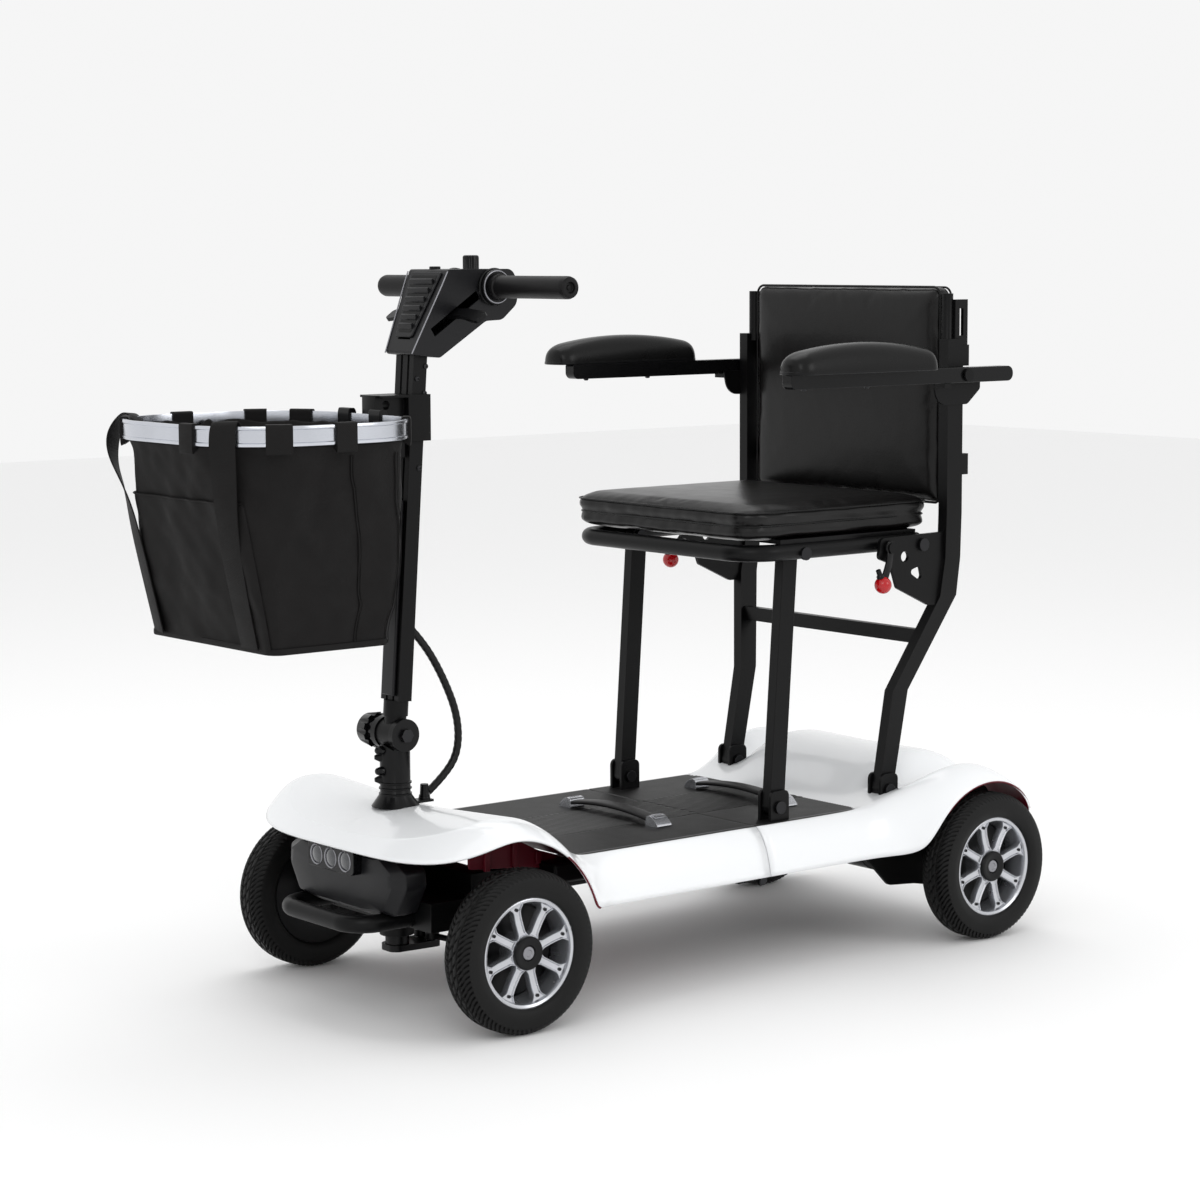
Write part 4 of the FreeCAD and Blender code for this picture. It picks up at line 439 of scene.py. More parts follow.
def lathe(profile: Points, centre: Points, segments: int = 64, axis: str = "X",
          closed: bool = False) -> Shape:
    """A profile turned about an axis: radius times cosine and sine, and its own height.

    Args:
        profile: (radius, height along the axis) pairs in mm.
        centre: Where height is zero on the axis, in mm.
        segments: Steps round the axis.
        axis: X, Y or Z.
        closed: Whether the profile's end joins its start.

    Returns:
        The turned surface.
    """
    profile = np.asarray(profile, float)
    angle = np.linspace(0, 2 * np.pi, segments, endpoint=False)
    a = profile[:, None, 0] * np.cos(angle)
    b = profile[:, None, 0] * np.sin(angle)
    h = np.broadcast_to(profile[:, None, 1], a.shape)
    order = {"X": (h, a, b), "Y": (b, h, a), "Z": (a, b, h)}[axis]
    net = np.stack(order, -1) + np.asarray(centre, float)
    return surface(net * MM, wrap_rows=closed, wrap_cols=True, cap=not closed)


def sweep(path: Points, section: Points, up: Points = (0, 0, 1), scale: Points | None = None,
          cap: bool = True, closed: bool = False) -> Shape:
    """A section carried along a path: path point plus section by side and normal.

    Args:
        path: Points in mm.
        section: Closed outline, (across, up) pairs in mm.
        up: Direction kept as near as can be to the section's second axis, one or one per point.
        scale: Size of the section at each path point.
        cap: Whether the ends are closed.
        closed: Whether the path's end joins its start.

    Returns:
        The swept surface.
    """
    path, section = np.asarray(path, float), np.asarray(section, float)
    if closed:
        tangent = np.roll(path, -1, 0) - np.roll(path, 1, 0)
    else:
        tangent = np.gradient(path, axis=0)
    tangent /= np.linalg.norm(tangent, axis=1, keepdims=True)
    up = np.broadcast_to(np.asarray(up, float), path.shape)
    side = np.cross(tangent, up)
    side /= np.linalg.norm(side, axis=1, keepdims=True)
    normal = np.cross(side, tangent)
    size = np.ones(len(path)) if scale is None else np.asarray(scale, float)
    net = (path[:, None] + size[:, None, None]
           * (section[None, :, :1] * side[:, None] + section[None, :, 1:] * normal[:, None]))
    return surface(net * MM, wrap_rows=closed, wrap_cols=True, cap=cap and not closed)


def tube(path: Points, radius: float, segments: int = 20, up: Points = (0, 0, 1),
         closed: bool = False) -> Shape:
    """A round section carried along a path."""
    return sweep(path, ring_points(radius, segments), up=up, closed=closed)


def slab(outline: Points, low: float, high: float, axis: str = "Z") -> Shape:
    """A flat outline given a thickness: the outline at its low and its high level.

    Args:
        outline: Corners in mm: (x, y) for Z, (y, z) for X, (x, z) for Y.
        low: Lower level in mm.
        high: Upper level in mm.
        axis: The direction of the thickness.

    Returns:
        The closed slab.
    """
    outline = np.asarray(outline, float)
    a, b = outline[:, 0], outline[:, 1]
    rows = []
    for level in (low, high):
        h = np.full(len(outline), level)
        rows.append(np.stack({"Z": (a, b, h), "X": (h, a, b), "Y": (a, h, b)}[axis], -1))
    return surface(np.array(rows) * MM, wrap_cols=True, cap=True)


def brick(x: Points, y: Points, z: Points) -> Shape:
    """A block between two corners, for a bevelled detail."""
    return slab([(x[0], y[0]), (x[1], y[0]), (x[1], y[1]), (x[0], y[1])], z[0], z[1])


def rounded(outline: Points, radius: float, steps: int = 5) -> np.ndarray:
    """An outline with its corners rounded: a quadratic curve between points on its two sides.

    Args:
        outline: Corners in mm.
        radius: Distance from a corner where its rounding starts.
        steps: Points on each corner.

    Returns:
        The rounded outline.
    """
    corner = np.asarray(outline, float)
    before = np.roll(corner, 1, 0) - corner
    after = np.roll(corner, -1, 0) - corner
    reach_b = np.minimum(radius, 0.49 * np.linalg.norm(before, axis=1))[:, None]
    reach_a = np.minimum(radius, 0.49 * np.linalg.norm(after, axis=1))[:, None]
    start = corner + before / np.linalg.norm(before, axis=1, keepdims=True) * reach_b
    end = corner + after / np.linalg.norm(after, axis=1, keepdims=True) * reach_a
    t = np.linspace(0, 1, steps)[None, :, None]
    curve = (1 - t) ** 2 * start[:, None] + 2 * t * (1 - t) * corner[:, None] + t ** 2 * end[:, None]
    return curve.reshape(-1, corner.shape[1])


def superellipse(half_x: float, half_y: float, power: float, segments: int) -> np.ndarray:
    """A squarish oval: half sizes times signed powers of cosine and sine.

    Args:
        half_x: Half size across.
        half_y: Half size upwards.
        power: Two for an ellipse, more for squarer corners.
        segments: Number of points.

    Returns:
        The outline.
    """
    angle = np.linspace(0, 2 * np.pi, segments, endpoint=False)
    c, s = np.cos(angle), np.sin(angle)
    return np.stack([half_x * np.sign(c) * np.abs(c) ** (2 / power),
                     half_y * np.sign(s) * np.abs(s) ** (2 / power)], -1)


def ripple(points: np.ndarray, pitch_mm: float, seed: int) -> np.ndarray:
    """Smooth wander between -1 and 1 at each point: a mean of eight slanted sine waves.

    Args:
        points: Places in mm.
        pitch_mm: Length of the waves.
        seed: Chooses the waves.

    Returns:
        One value for each point.
    """
    rng = np.random.default_rng(seed)
    directions = rng.normal(size=(8, 3))
    directions /= np.linalg.norm(directions, axis=1, keepdims=True)
    rates = 2 * np.pi / pitch_mm * rng.uniform(0.6, 1.6, 8)
    phases = rng.uniform(0, 2 * np.pi, 8)
    return np.sin(points @ directions.T * rates + phases).mean(-1) * 2


def ease(t: np.ndarray) -> np.ndarray:
    """From 0 to 1 with level ends."""
    t = np.clip(t, 0, 1)
    return t * t * (3 - 2 * t)


# ---- pieces ---------------------------------------------------------------
@dataclass(frozen=True)
class Dress:
    """How a shape becomes a piece."""

    bevel_mm: float = 0.0
    bevel_steps: int = 2
    wall_mm: float = 0.0
    inner: Finish | None = None
    subdivide: int = 0
    sharp_degrees: float = 40.0
    open_skin: bool = False


class Workshop:
    """Makes pieces, puts them on their bodies and remembers them."""

    def __init__(self, frame: dict) -> None:
        """Keeps the loaded frame."""
        self.frame = frame
        self.made: list[str] = []

    def piece(self, name: str, shape: Shape, finish: Finish, body: str,
              dress: Dress = Dress(), replaces: tuple[str, ...] = ()) -> bpy.types.Object:
        """A new object from a shape, dressed, on its body.

        Args:
            name: The piece's name.
            shape: Its mesh in metres.
            finish: Its finish.
            body: The CAD body that it rides on.
            dress: Its edges, walls and shading.
            replaces: CAD nodes that it stands for.

        Returns:
            The object.
        """
        mesh = bpy.data.meshes.new(name)
        mesh.from_pydata(shape.points.tolist(), [], shape.faces)
        obj = bpy.data.objects.new(name, mesh)
        bpy.context.scene.collection.objects.link(obj)
        self.clean(mesh, dress.open_skin)
        return self.finish(obj, finish, body, dress, replaces)

    def finish(self, obj: bpy.types.Object, finish: Finish, body: str, dress: Dress,
               replaces: tuple[str, ...]) -> bpy.types.Object:
        """Material, modifiers, shading and body of an object.

        Args:
            obj: The object.
            finish: Its finish.
            body: The CAD body that it rides on.
            dress: Its edges, walls and shading.
            replaces: CAD nodes that it stands for.

        Returns:
            The same object.
        """
        mesh = obj.data
        mesh.materials.clear()
        mesh.materials.append(finish.material())
        mesh.shade_smooth()
        mesh.set_sharp_from_angle(angle=math.radians(dress.sharp_degrees))
        if dress.subdivide:
            level = obj.modifiers.new("smooth", "SUBSURF")
            level.levels = level.render_levels = dress.subdivide
        if dress.wall_mm:
            wall = obj.modifiers.new("wall", "SOLIDIFY")
            wall.thickness = dress.wall_mm * MM
            wall.offset = -1.0
            if dress.inner is not None:
                mesh.materials.append(dress.inner.material())
                wall.material_offset = 1
        if dress.bevel_mm:
            bevel = obj.modifiers.new("edge", "BEVEL")
            bevel.width = dress.bevel_mm * MM
            bevel.segments = dress.bevel_steps
            bevel.limit_method = "ANGLE"
            bevel.angle_limit = math.radians(BEVEL_FROM_DEGREES)
            bevel.harden_normals = False
        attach(obj, body)
        if replaces:
            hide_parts(*replaces)
        self.made.append(obj.name)
        LOG.info("piece %s on %s", obj.name, body)
        return obj

    def refined(self, node: str, finish: Finish, bevel_mm: float = 0.8,
                name: str | None = None) -> bpy.types.Object:
        """A merged copy of a CAD node with soft edges, standing for the node.

        Args:
            node: The CAD node.
            finish: Its finish.
            bevel_mm: Width of its edge rounding.
            name: The piece's name, made from the node's by default.

        Returns:
            The piece.
        """
        source = self.frame["nodes"][node]
        mesh = source.data.copy()
        name = name or f"{node}_body"
        mesh.name = name
        obj = bpy.data.objects.new(name, mesh)
        bpy.context.scene.collection.objects.link(obj)
        work = bmesh.new()
        work.from_mesh(mesh)
        bmesh.ops.remove_doubles(work, verts=work.verts, dist=COPY_MERGE_METRES)
        bmesh.ops.dissolve_limit(work, angle_limit=math.radians(0.6), verts=work.verts,
                                 edges=work.edges)
        work.to_mesh(mesh)
        work.free()
        dress = Dress(bevel_mm=bevel_mm, sharp_degrees=32)
        return self.finish(obj, finish, self.body_of(node), dress, (node,))

    def body_of(self, node: str) -> str:
        """The CAD body that a node belongs to."""
        bodies = self.frame["record"]["behaviour"]["bodies"]
        return next(body for body, nodes in bodies.items() if node in nodes)

    @staticmethod
    def clean(mesh: bpy.types.Mesh, open_skin: bool) -> None:
        """Merges doubles, and turns the faces of a closed shape outwards.

        Args:
            mesh: The mesh that is changed.
            open_skin: Whether it is open, and keeps its faces as they are.
        """
        work = bmesh.new()
        work.from_mesh(mesh)
        bmesh.ops.remove_doubles(work, verts=work.verts, dist=MERGE_METRES)
        if not open_skin:
            bmesh.ops.recalc_face_normals(work, faces=work.faces)
        work.to_mesh(mesh)
        work.free()


# ---- wheels ---------------------------------------------------------------
@dataclass
class Wheel:
    """One tyre, its silver eight spoke rim and black hub cap, in mm.

    Attributes:
        shop: Where pieces are made.
        name: Like front_left.
        x: Middle of the wheel, positive on the left.
        y: Place of the axle.
        z: Height of the axle.
        radius: Radius of the tread.
        rim_radius: Radius where the tyre sits; not used.
        lugs: Lugs round the tyre.
        spokes: Spokes round the rim.
        lead: Share of a spoke's pitch by which the first is turned on.
        groove_depth: Depth of the tread.
    """

    shop: Workshop
    name: str
    x: float
    y: float
    z: float = 100.0
    radius: float = 99.9
    rim_radius: float = 67.5
    lugs: int = 84
    spokes: int = 8
    lead: float = 0.35
    groove_depth: float = 3.0

    def build(self) -> None:
        """Makes the tyre, the rim and the cap."""
        outward = math.copysign(1.0, self.x)
        body = self.name.replace("_", "_wheel_body_")
        self.shop.piece(f"{self.name}_tyre", self._tyre(), TYRE_RUBBER, body,
                        Dress(sharp_degrees=50), (self.name.replace("_", "_tyre_"),))
        rim = self._rim(outward) + self._spokes(outward)
        self.shop.piece(f"{self.name}_rim", rim, WHEEL_SILVER, body, Dress(sharp_degrees=35),
                        (self.name.replace("_", "_wheel_"),))
        # Painted shade: a black plate behind the spoke windows stands in for the shaded inside of the wheel.
        self.shop.piece(f"{self.name}_painted_shade_plate", self._painted_shade_plate(outward), HUB_BLACK, body)
        self.shop.piece(f"{self.name}_hub_cap", self._cap(outward), HUB_BLACK, body,
                        Dress(sharp_degrees=30))
        self.shop.piece(f"{self.name}_cap_inlay", self._inlay(outward), TRIM_LINE, body,
                        Dress(sharp_degrees=30))
        self.shop.piece(f"{self.name}_rim_screws", self._screws(outward), DARK_BOLT, body)
        if self.name.startswith("rear"):
            shaft = lathe([(11, 0), (11, outward * 104)], (outward * 98, self.y, self.z), 32)
            self.shop.piece(f"{self.name}_half_shaft", shaft, DARK_BOLT, body,
                            Dress(bevel_mm=1.0))

    def _tyre(self) -> Shape:
        """A ring whose tread is a height field: radius less the depth of its grooves.

        Returns:
            The tyre.
        """
        across = np.concatenate([[-20.5, -24.2, -24.9, -24.6, -23.6], np.linspace(-22.2, 22.2, 41),
                                 [23.6, 24.6, 24.9, 24.2, 20.5]])
        levels = np.concatenate([[66.8, 70, 80, 87, 91.5], np.zeros(41), [91.5, 87, 80, 70, 66.8]])
        tread = np.arange(5, 46)
        crown = self.radius - 6.5 * np.abs(across[tread] / 22.2) ** 4.5
        levels[tread] = crown
        steps = self.lugs * 6
        angle = np.linspace(0, 2 * np.pi, steps, endpoint=False)[:, None]
        w = across[None, tread]
        turn = angle * self.lugs / (2 * np.pi)
        shoulder = self._groove(turn + np.abs(w) * 0.16, 0.32) * ease((np.abs(w) - 8.0) / 1.5)
        middle = self._groove(turn * 0.5 + w * 0.09, 0.14) * ease((8.0 - np.abs(w)) / 1.5)
        rings = np.exp(-((np.abs(w) - 8.2) / 0.95) ** 2) + 0.8 * np.exp(-(w / 0.8) ** 2)
        radius = np.broadcast_to(levels, (steps, len(levels))).copy()
        radius[:, tread] -= self.groove_depth * np.clip(np.maximum(np.maximum(shoulder, middle), rings), 0, 1)
        ring_lines = 0.35 * (np.abs(np.abs(across) - 24.4) < 0.3)
        net = np.stack([np.broadcast_to(self.x + across - np.sign(across) * ring_lines, radius.shape),
                        self.y + radius * np.cos(angle), self.z + radius * np.sin(angle)], -1)
        return surface(net * MM, wrap_rows=True, wrap_cols=True)

    @staticmethod
    def _groove(turn: np.ndarray, width: float) -> np.ndarray:
        """One in each groove and zero on each lug, over the fraction of the turn.

        Args:
            turn: Place round the tyre, in lugs.
            width: Share of a lug that its groove takes.

        Returns:
            Depth of the groove, from 0 to 1.
        """
        part = np.abs(turn - np.floor(turn) - 0.5) * 2
        return ease((width - part) / 0.12 + 0.5)

    def _rim(self, outward: float) -> Shape:
        """The barrel with a rolled lip on its outer side.

        Args:
            outward: One on the left, minus one on the right.

        Returns:
            The barrel.
        """
        profile = [(67.4, -20.5), (67.6, 17.5), (67.2, 20.2), (65.4, 20.8), (62.6, 19.4), (61.2, 16.6),
                   (60.6, 12.0), (57.5, 2.0), (56.5, -8.0), (58.5, -19.0), (62.0, -20.5)]
        smooth = np.array(profile) * (1, outward)
        return lathe(smooth, (self.x, self.y, self.z), 96, "X", closed=True)

    def _spokes(self, outward: float) -> Shape:
        """Spokes with raised sides: a channel section carried outwards and widened at both ends.

        Args:
            outward: One on the left, minus one on the right.

        Returns:
            The spokes and their hub.
        """
        u = np.linspace(0, 1, 22)
        radius = 19 + u * 43.5
        flare = 5.4 + 2.6 * (1 - ease(u / 0.18)) + 6.2 * ease((u - 0.72) / 0.28) ** 1.6
        face = 15.6 + 1.6 * ease((u - 0.5) / 0.5) - 1.2 * np.sin(np.pi * u)
        wall = 1.3
        section = np.array([(-1, 0, -10), (-1, 0, -0.9), (-1, 0.6, 0), (-1, wall, 0), (-1, wall + 1, -1.7),
                            (1, -wall - 1, -1.7), (1, -wall, 0), (1, -0.6, 0), (1, 0, -0.9), (1, 0, -10)])
        across = section[None, :, 0] * flare[:, None] + section[None, :, 1]
        depth = face[:, None] + section[None, :, 2]
        height = np.broadcast_to(radius[:, None], across.shape)
        net = np.stack([outward * depth, across, height], -1)
        one = surface(net * MM, wrap_cols=True, cap=True)
        if outward < 0:
            one = Shape(one.points, [f[::-1] for f in one.faces])
        whole = None
        for index in range(self.spokes):
            spoke = one.turned(360 * (index + self.lead) / self.spokes, "X", (0, 0, 0))
            whole = spoke if whole is None else whole + spoke
        profile = np.array([(0.5, 15.0), (21.5, 15.0), (22.5, 13.5), (22.8, 2), (22, -16), (9, -17)])
        hub = lathe(profile * (1, outward), (0, 0, 0), 64)
        return (whole + hub).moved(self.x * MM, self.y * MM, self.z * MM)

    def _painted_shade_plate(self, outward: float) -> Shape:
        """A black plate behind the windows: painted shade standing in for the shaded inside of the wheel.

        Args:
            outward: One on the left, minus one on the right.

        Returns:
            The plate.
        """
        profile = np.array([(20, -12), (55.8, -12.6), (56.2, -14), (57.5, -19.3), (62, -20.9), (67.2, -20.8),
                            (67.0, -21.8), (62, -22.2), (40, -20.5), (20, -18.5)])
        return lathe(profile * (1, outward), (self.x, self.y, self.z), 64, closed=True)

    def _cap(self, outward: float) -> Shape:
        """A round cap with a raised edge and a dished middle.

        Args:
            outward: One on the left, minus one on the right.

        Returns:
            The cap.
        """
        profile = np.array([(20.6, 14.0), (20.6, 18.6), (19.6, 20.0), (17.2, 20.4), (15.2, 19.9),
                            (10.0, 19.5), (9.2, 18.4), (8.6, 17.4), (0.2, 17.2)])
        return lathe(profile * (1, outward), (self.x, self.y, self.z), 64)

    def _inlay(self, outward: float) -> Shape:
        """A bright round inlay with a raised middle, set in the cap.

        Args:
            outward: One on the left, minus one on the right.

        Returns:
            The inlay.
        """
        profile = np.array([(8.2, 17.0), (8.2, 18.4), (7.4, 19.0), (4.4, 19.2), (3.8, 18.4), (0.2, 18.3)])
        return lathe(profile * (1, outward), (self.x, self.y, self.z), 48)

    def _screws(self, outward: float) -> Shape:
        """A small dark socket near the outer end of each spoke.

        Args:
            outward: One on the left, minus one on the right.

        Returns:
            The sockets.
        """
        whole = None
        for index in range(self.spokes):
            dot = lathe(np.array([(2.1, 14.0), (2.1, 16.2), (1.4, 16.5), (1.0, 15.6), (0.2, 15.6)])
                        * (1, outward), (0, 0, 56.0), 16)
            dot = dot.turned(360 * (index + self.lead) / self.spokes, "X", (0, 0, 0))
            whole = dot if whole is None else whole + dot
        return whole.moved(self.x * MM, self.y * MM, self.z * MM)


# ---- covers and deck ------------------------------------------------------
@dataclass
class FrontCover:
    """The white front shell with its two flowing fenders."""

    shop: Workshop
    rows: tuple = (
        (0, -345, 238, 0, -378, 226, 0, -396, 210),
        (0, -343, 238, 60, -376, 226, 64, -396, 210),
        (0, -335, 240, 110, -366, 228, 118, -388, 208),
        (0, -325, 242, 150, -352, 236, 165, -376, 209),
        (0, -315, 244, 178, -335, 245, 205, -355, 214),
        (0, -305, 245, 193, -315, 254, 231, -325, 226),
        (0, -292, 246, 200, -292, 259, 240, -292, 238),
        (0, -265, 245, 200, -262, 258, 241, -258, 235.8),
        (0, -240, 240, 197, -235, 249, 240, -225, 223),
        (0, -215, 230, 192, -210, 236, 239, -198, 204),
        (0, -190, 214, 187, -188, 219, 238, -176, 178),
        (0, -165, 199, 181, -165, 203, 236.5, -163, 153),
        (0, -145, 191, 177, -148, 193, 235, -157, 138),
        (0, -137, 187, 176.5, -137, 190.5, 228, -142, 134),
        (0, -120, 186, 176.5, -118, 190.5, 214, -118, 131),
        (0, -90, 186, 176.5, -90, 190.5, 206, -88, 129),
        (0, -10, 186, 176.5, -10, 190.5, 205, -10, 129),
        (0, 90, 186, 176.5, 90, 190.5, 205, 90, 129),
        (0, 151, 186, 176.5, 151, 190.5, 205, 151, 129))

    def build(self) -> None:
        """Makes the shell and the rolled lips of its wheel arches."""
        net = self.net()
        skin = surface(net * MM)
        self.shop.piece("front_shell", skin, WHITE_SHELL, "front_chassis",
                        Dress(wall_mm=3.0, inner=RED_LINER, open_skin=True, sharp_degrees=60),
                        ("front_cover",))
        self._lips(net)

    def net(self) -> np.ndarray:
        """Points of the skin, from the right edge over the spine to the left edge.

        Returns:
            Rows from the nose to the fold, by columns, by 3, in mm.
        """
        half = []
        for ax, ay, az, sx, sy, sz, ex, ey, ez in self.rows:
            a, s, e = np.array([ax, ay, az]), np.array([sx, sy, sz]), np.array([ex, ey, ez])
            knee = s + (e - s) * (0.5, 0.2, 0.22)
            flat = ay >= MAT_FRONT_Y
            half.append([a, a + (s - a) * (0.45, 0.45, 0.0 if flat else 0.45),
                         a + (s - a) * (0.86, 0.86, -0.45 if flat else 0.86),
                         s - (s - a) * (0.005 if flat else 0.03, 0.03, 0.03), s,
                         knee, s + (e - s) * (0.82, 0.6, 0.6), e])
        half = np.array(half, float)
        mirrored = half[:, :0:-1] * (-1, 1, 1)
        return spline_net(np.concatenate([mirrored, half], 1), 150, 120)

    def _lips(self, net: np.ndarray) -> None:
        """A thin maroon welt inside each arch, set in from the edge of the skin.

        Args:
            net: Points of the skin.
        """
        rows = np.linspace(72, 106, 40).astype(int)
        edge = net[rows, -1] + (-1.8, 0, -1.0)
        welt = tube(edge, 1.7, 10)
        self.shop.piece("front_arch_welt", welt.both(), RED_LINER, "front_chassis")


@dataclass
class RearCover:
    """The white rear shell with its hump, its valleys and its fenders."""

    shop: Workshop
    rows: tuple = (
        (153, 186, 176.5, 153, 190.5, 205, 153, 129, 0, 0),
        (200, 186, 176.5, 200, 190.5, 205, 200, 129, 0, 0),
        (270, 186, 176.5, 270, 190.5, 205, 270, 129, 0, 0),
        (330, 186, 176.5, 330, 191, 206, 335, 129, 0, 0),
        (345, 190, 178, 352, 194, 211, 365, 129, 0, 0),
        (375, 203, 184, 378, 203, 221, 392, 130, 0, 3),
        (405, 226, 190, 402, 213, 232, 408, 139, 0, 14),
        (430, 241, 196, 428, 225, 239, 422, 164, 0, 28),
        (455, 247, 200, 458, 236, 241, 446, 193, 0, 38),
        (480, 248, 201, 490, 241, 242, 480, 212, 0, 44),
        (505, 246, 201, 520, 239, 242, 518, 218, 0, 44),
        (530, 239, 200, 550, 228, 242, 552, 212.5, 0, 36),
        (550, 231, 197, 572, 211, 241, 580, 197, 0, 26),
        (565, 224, 193, 588, 190, 238, 598, 175, 0, 14),
        (572, 215, 188, 594, 172, 234, 604, 158, 0, 4),
        (576, 205, 150, 592, 165, 180, 602, 150, 0, 0),
        (578, 200, 80, 588, 170, 80, 598, 148, 0, 0),
        (578, 198, 0, 586, 172, 0, 597, 148, 0, 0))

    def build(self) -> None:
        """Makes the shell, the wells beside the wheels and the arch welts."""
        net = self.net()
        self.shop.piece("rear_shell", surface(net * MM), WHITE_SHELL, "rear_chassis",
                        Dress(wall_mm=3.0, inner=RED_LINER, open_skin=True, sharp_degrees=60),
                        ("rear_cover",))
        rows = np.linspace(66, 122, 56).astype(int)
        welt = tube(net[rows, -1] + (-1.8, 0, -1.0), 1.7, 10)
        self.shop.piece("rear_arch_welt", welt.both(), RED_LINER, "rear_chassis")
        outline = [(398, 132), (400, 176), (425, 196), (460, 205), (560, 202), (578, 178), (580, 138)]
        wall = slab(rounded(outline, 12), 184, 187, "X")
        self.shop.piece("rear_well_wall", wall.both(), BLACK_CASE, "rear_chassis",
                        Dress(bevel_mm=0.8))

    def net(self) -> np.ndarray:
        """Points of the skin, from the right edge over the hump to the left edge.

        Returns:
            Rows from the fold to the tail, by columns, by 3, in mm.
        """
        half = []
        for ay, az, sx, sy, sz, ex, ey, ez, lift, dip in self.rows:
            a, s, e = np.array([0, ay, az]), np.array([sx, sy, sz]), np.array([ex, ey, ez])
            hump = a + (s - a) * (0.50, 0.5, 0.0)
            flat = ay < 345
            brow = a + (s - a) * (0.60, 0.6, 0.0 if flat else 0.12)
            valley = a + (s - a) * ((0.86, 0.86, -0.45) if flat else (0.76, 0.8, 0.9)) - (0, 0, dip)
            knee = s + (e - s) * (0.5, 0.2, 0.22)
            half.append([a, a + (hump - a) * 0.5, hump, brow, valley,
                         s - (s - valley) * ((0.04, 0, 0.03) if flat else (0.2, 0, 0.2)), s, knee,
                         s + (e - s) * (0.82, 0.6, 0.6), e])
        half = np.array(half, float)
        mirrored = half[:, :0:-1] * (-1, 1, 1)
        return spline_net(np.concatenate([mirrored, half], 1), 150, 140)


@dataclass
class DeckMat:
    """A ribbed rubber mat: slanting ribs down the middle and fine lines at the sides."""

    shop: Workshop
    name: str
    body: str
    y_from: float
    y_to: float
    half: float = 175.0
    top: float = DECK_Z
    band: float = 60.0

    def build(self) -> None:
        """Makes the mat as a height field closed underneath."""
        x = np.linspace(-self.half, self.half, 281)
        y = np.linspace(self.y_from, self.y_to, int((self.y_to - self.y_from) / 1.5) + 1)
        gx, gy = np.meshgrid(x, y, indexing="ij")
        ribs = 0.5 + 0.5 * np.cos(2 * np.pi * (gy - 0.55 * gx) / 9.0)
        ribs = ease((ribs - 0.25) * 2.2)
        lines = 0.5 + 0.5 * np.cos(2 * np.pi * gx / 5.0)
        middle = ease((self.band - np.abs(gx)) / 2.0 + 0.5)
        border = ease((np.abs(gx) - self.half + 9) / 3)
        pattern = np.maximum(ribs * middle, lines * 0.7 * (1 - middle))
        height = self.top - 1.5 + 1.3 * np.maximum(pattern, border)
        edge = np.minimum(np.minimum(gx + self.half, self.half - gx),
                          np.minimum(gy - self.y_from, self.y_to - gy))
        height -= 1.4 * (1 - ease(edge / 1.4))
        upper = np.stack([gx, gy, height], -1)
        shape = surface(upper * MM)
        self.shop.piece(f"{self.name}_rubber", shape, DECK_RUBBER, self.body,
                        Dress(wall_mm=1.2, open_skin=True, sharp_degrees=70), (self.name,))


@dataclass
class CarryHandle:
    """A rubber carrying strap held at each end under a bright cap."""

    shop: Workshop
    name: str
    body: str
    y: float
    half: float = 103.0
    strap_half: float = 88.0
    half_width: float = 12.0

    def build(self) -> None:
        """Makes the strap and its two caps."""
        x = np.linspace(-self.strap_half, self.strap_half, 60)
        rise = 1 - (x / self.strap_half) ** 2
        path = np.stack([x, np.full_like(x, self.y), 195.5 + 8.5 * rise ** 0.9], -1)
        section = superellipse(10.5, 2.9, 3.2, 28)
        swell = 1 + 0.1 * rise
        strap = sweep(path, section, scale=swell)
        self.shop.piece(f"{self.name}_strap", strap, GRIP_RUBBER, self.body,
                        Dress(sharp_degrees=60), (self.name,))
        outline = [(78, 190.2), (80, 202.5), (86, 204.2), (94, 201.5), (self.half, 193),
                   (self.half, 190.2)]
        cap = slab(rounded(outline, 2.5), self.y - self.half_width, self.y + self.half_width, "Y")
        groove = slab(rounded([(84, 203.2), (93, 200.6), (94.5, 201.8), (85, 205)], 0.6),
                      self.y - 8, self.y + 8, "Y")
        self.shop.piece(f"{self.name}_caps", (cap + groove).both(), WHEEL_SILVER, self.body,
                        Dress(bevel_mm=1.1, bevel_steps=3))


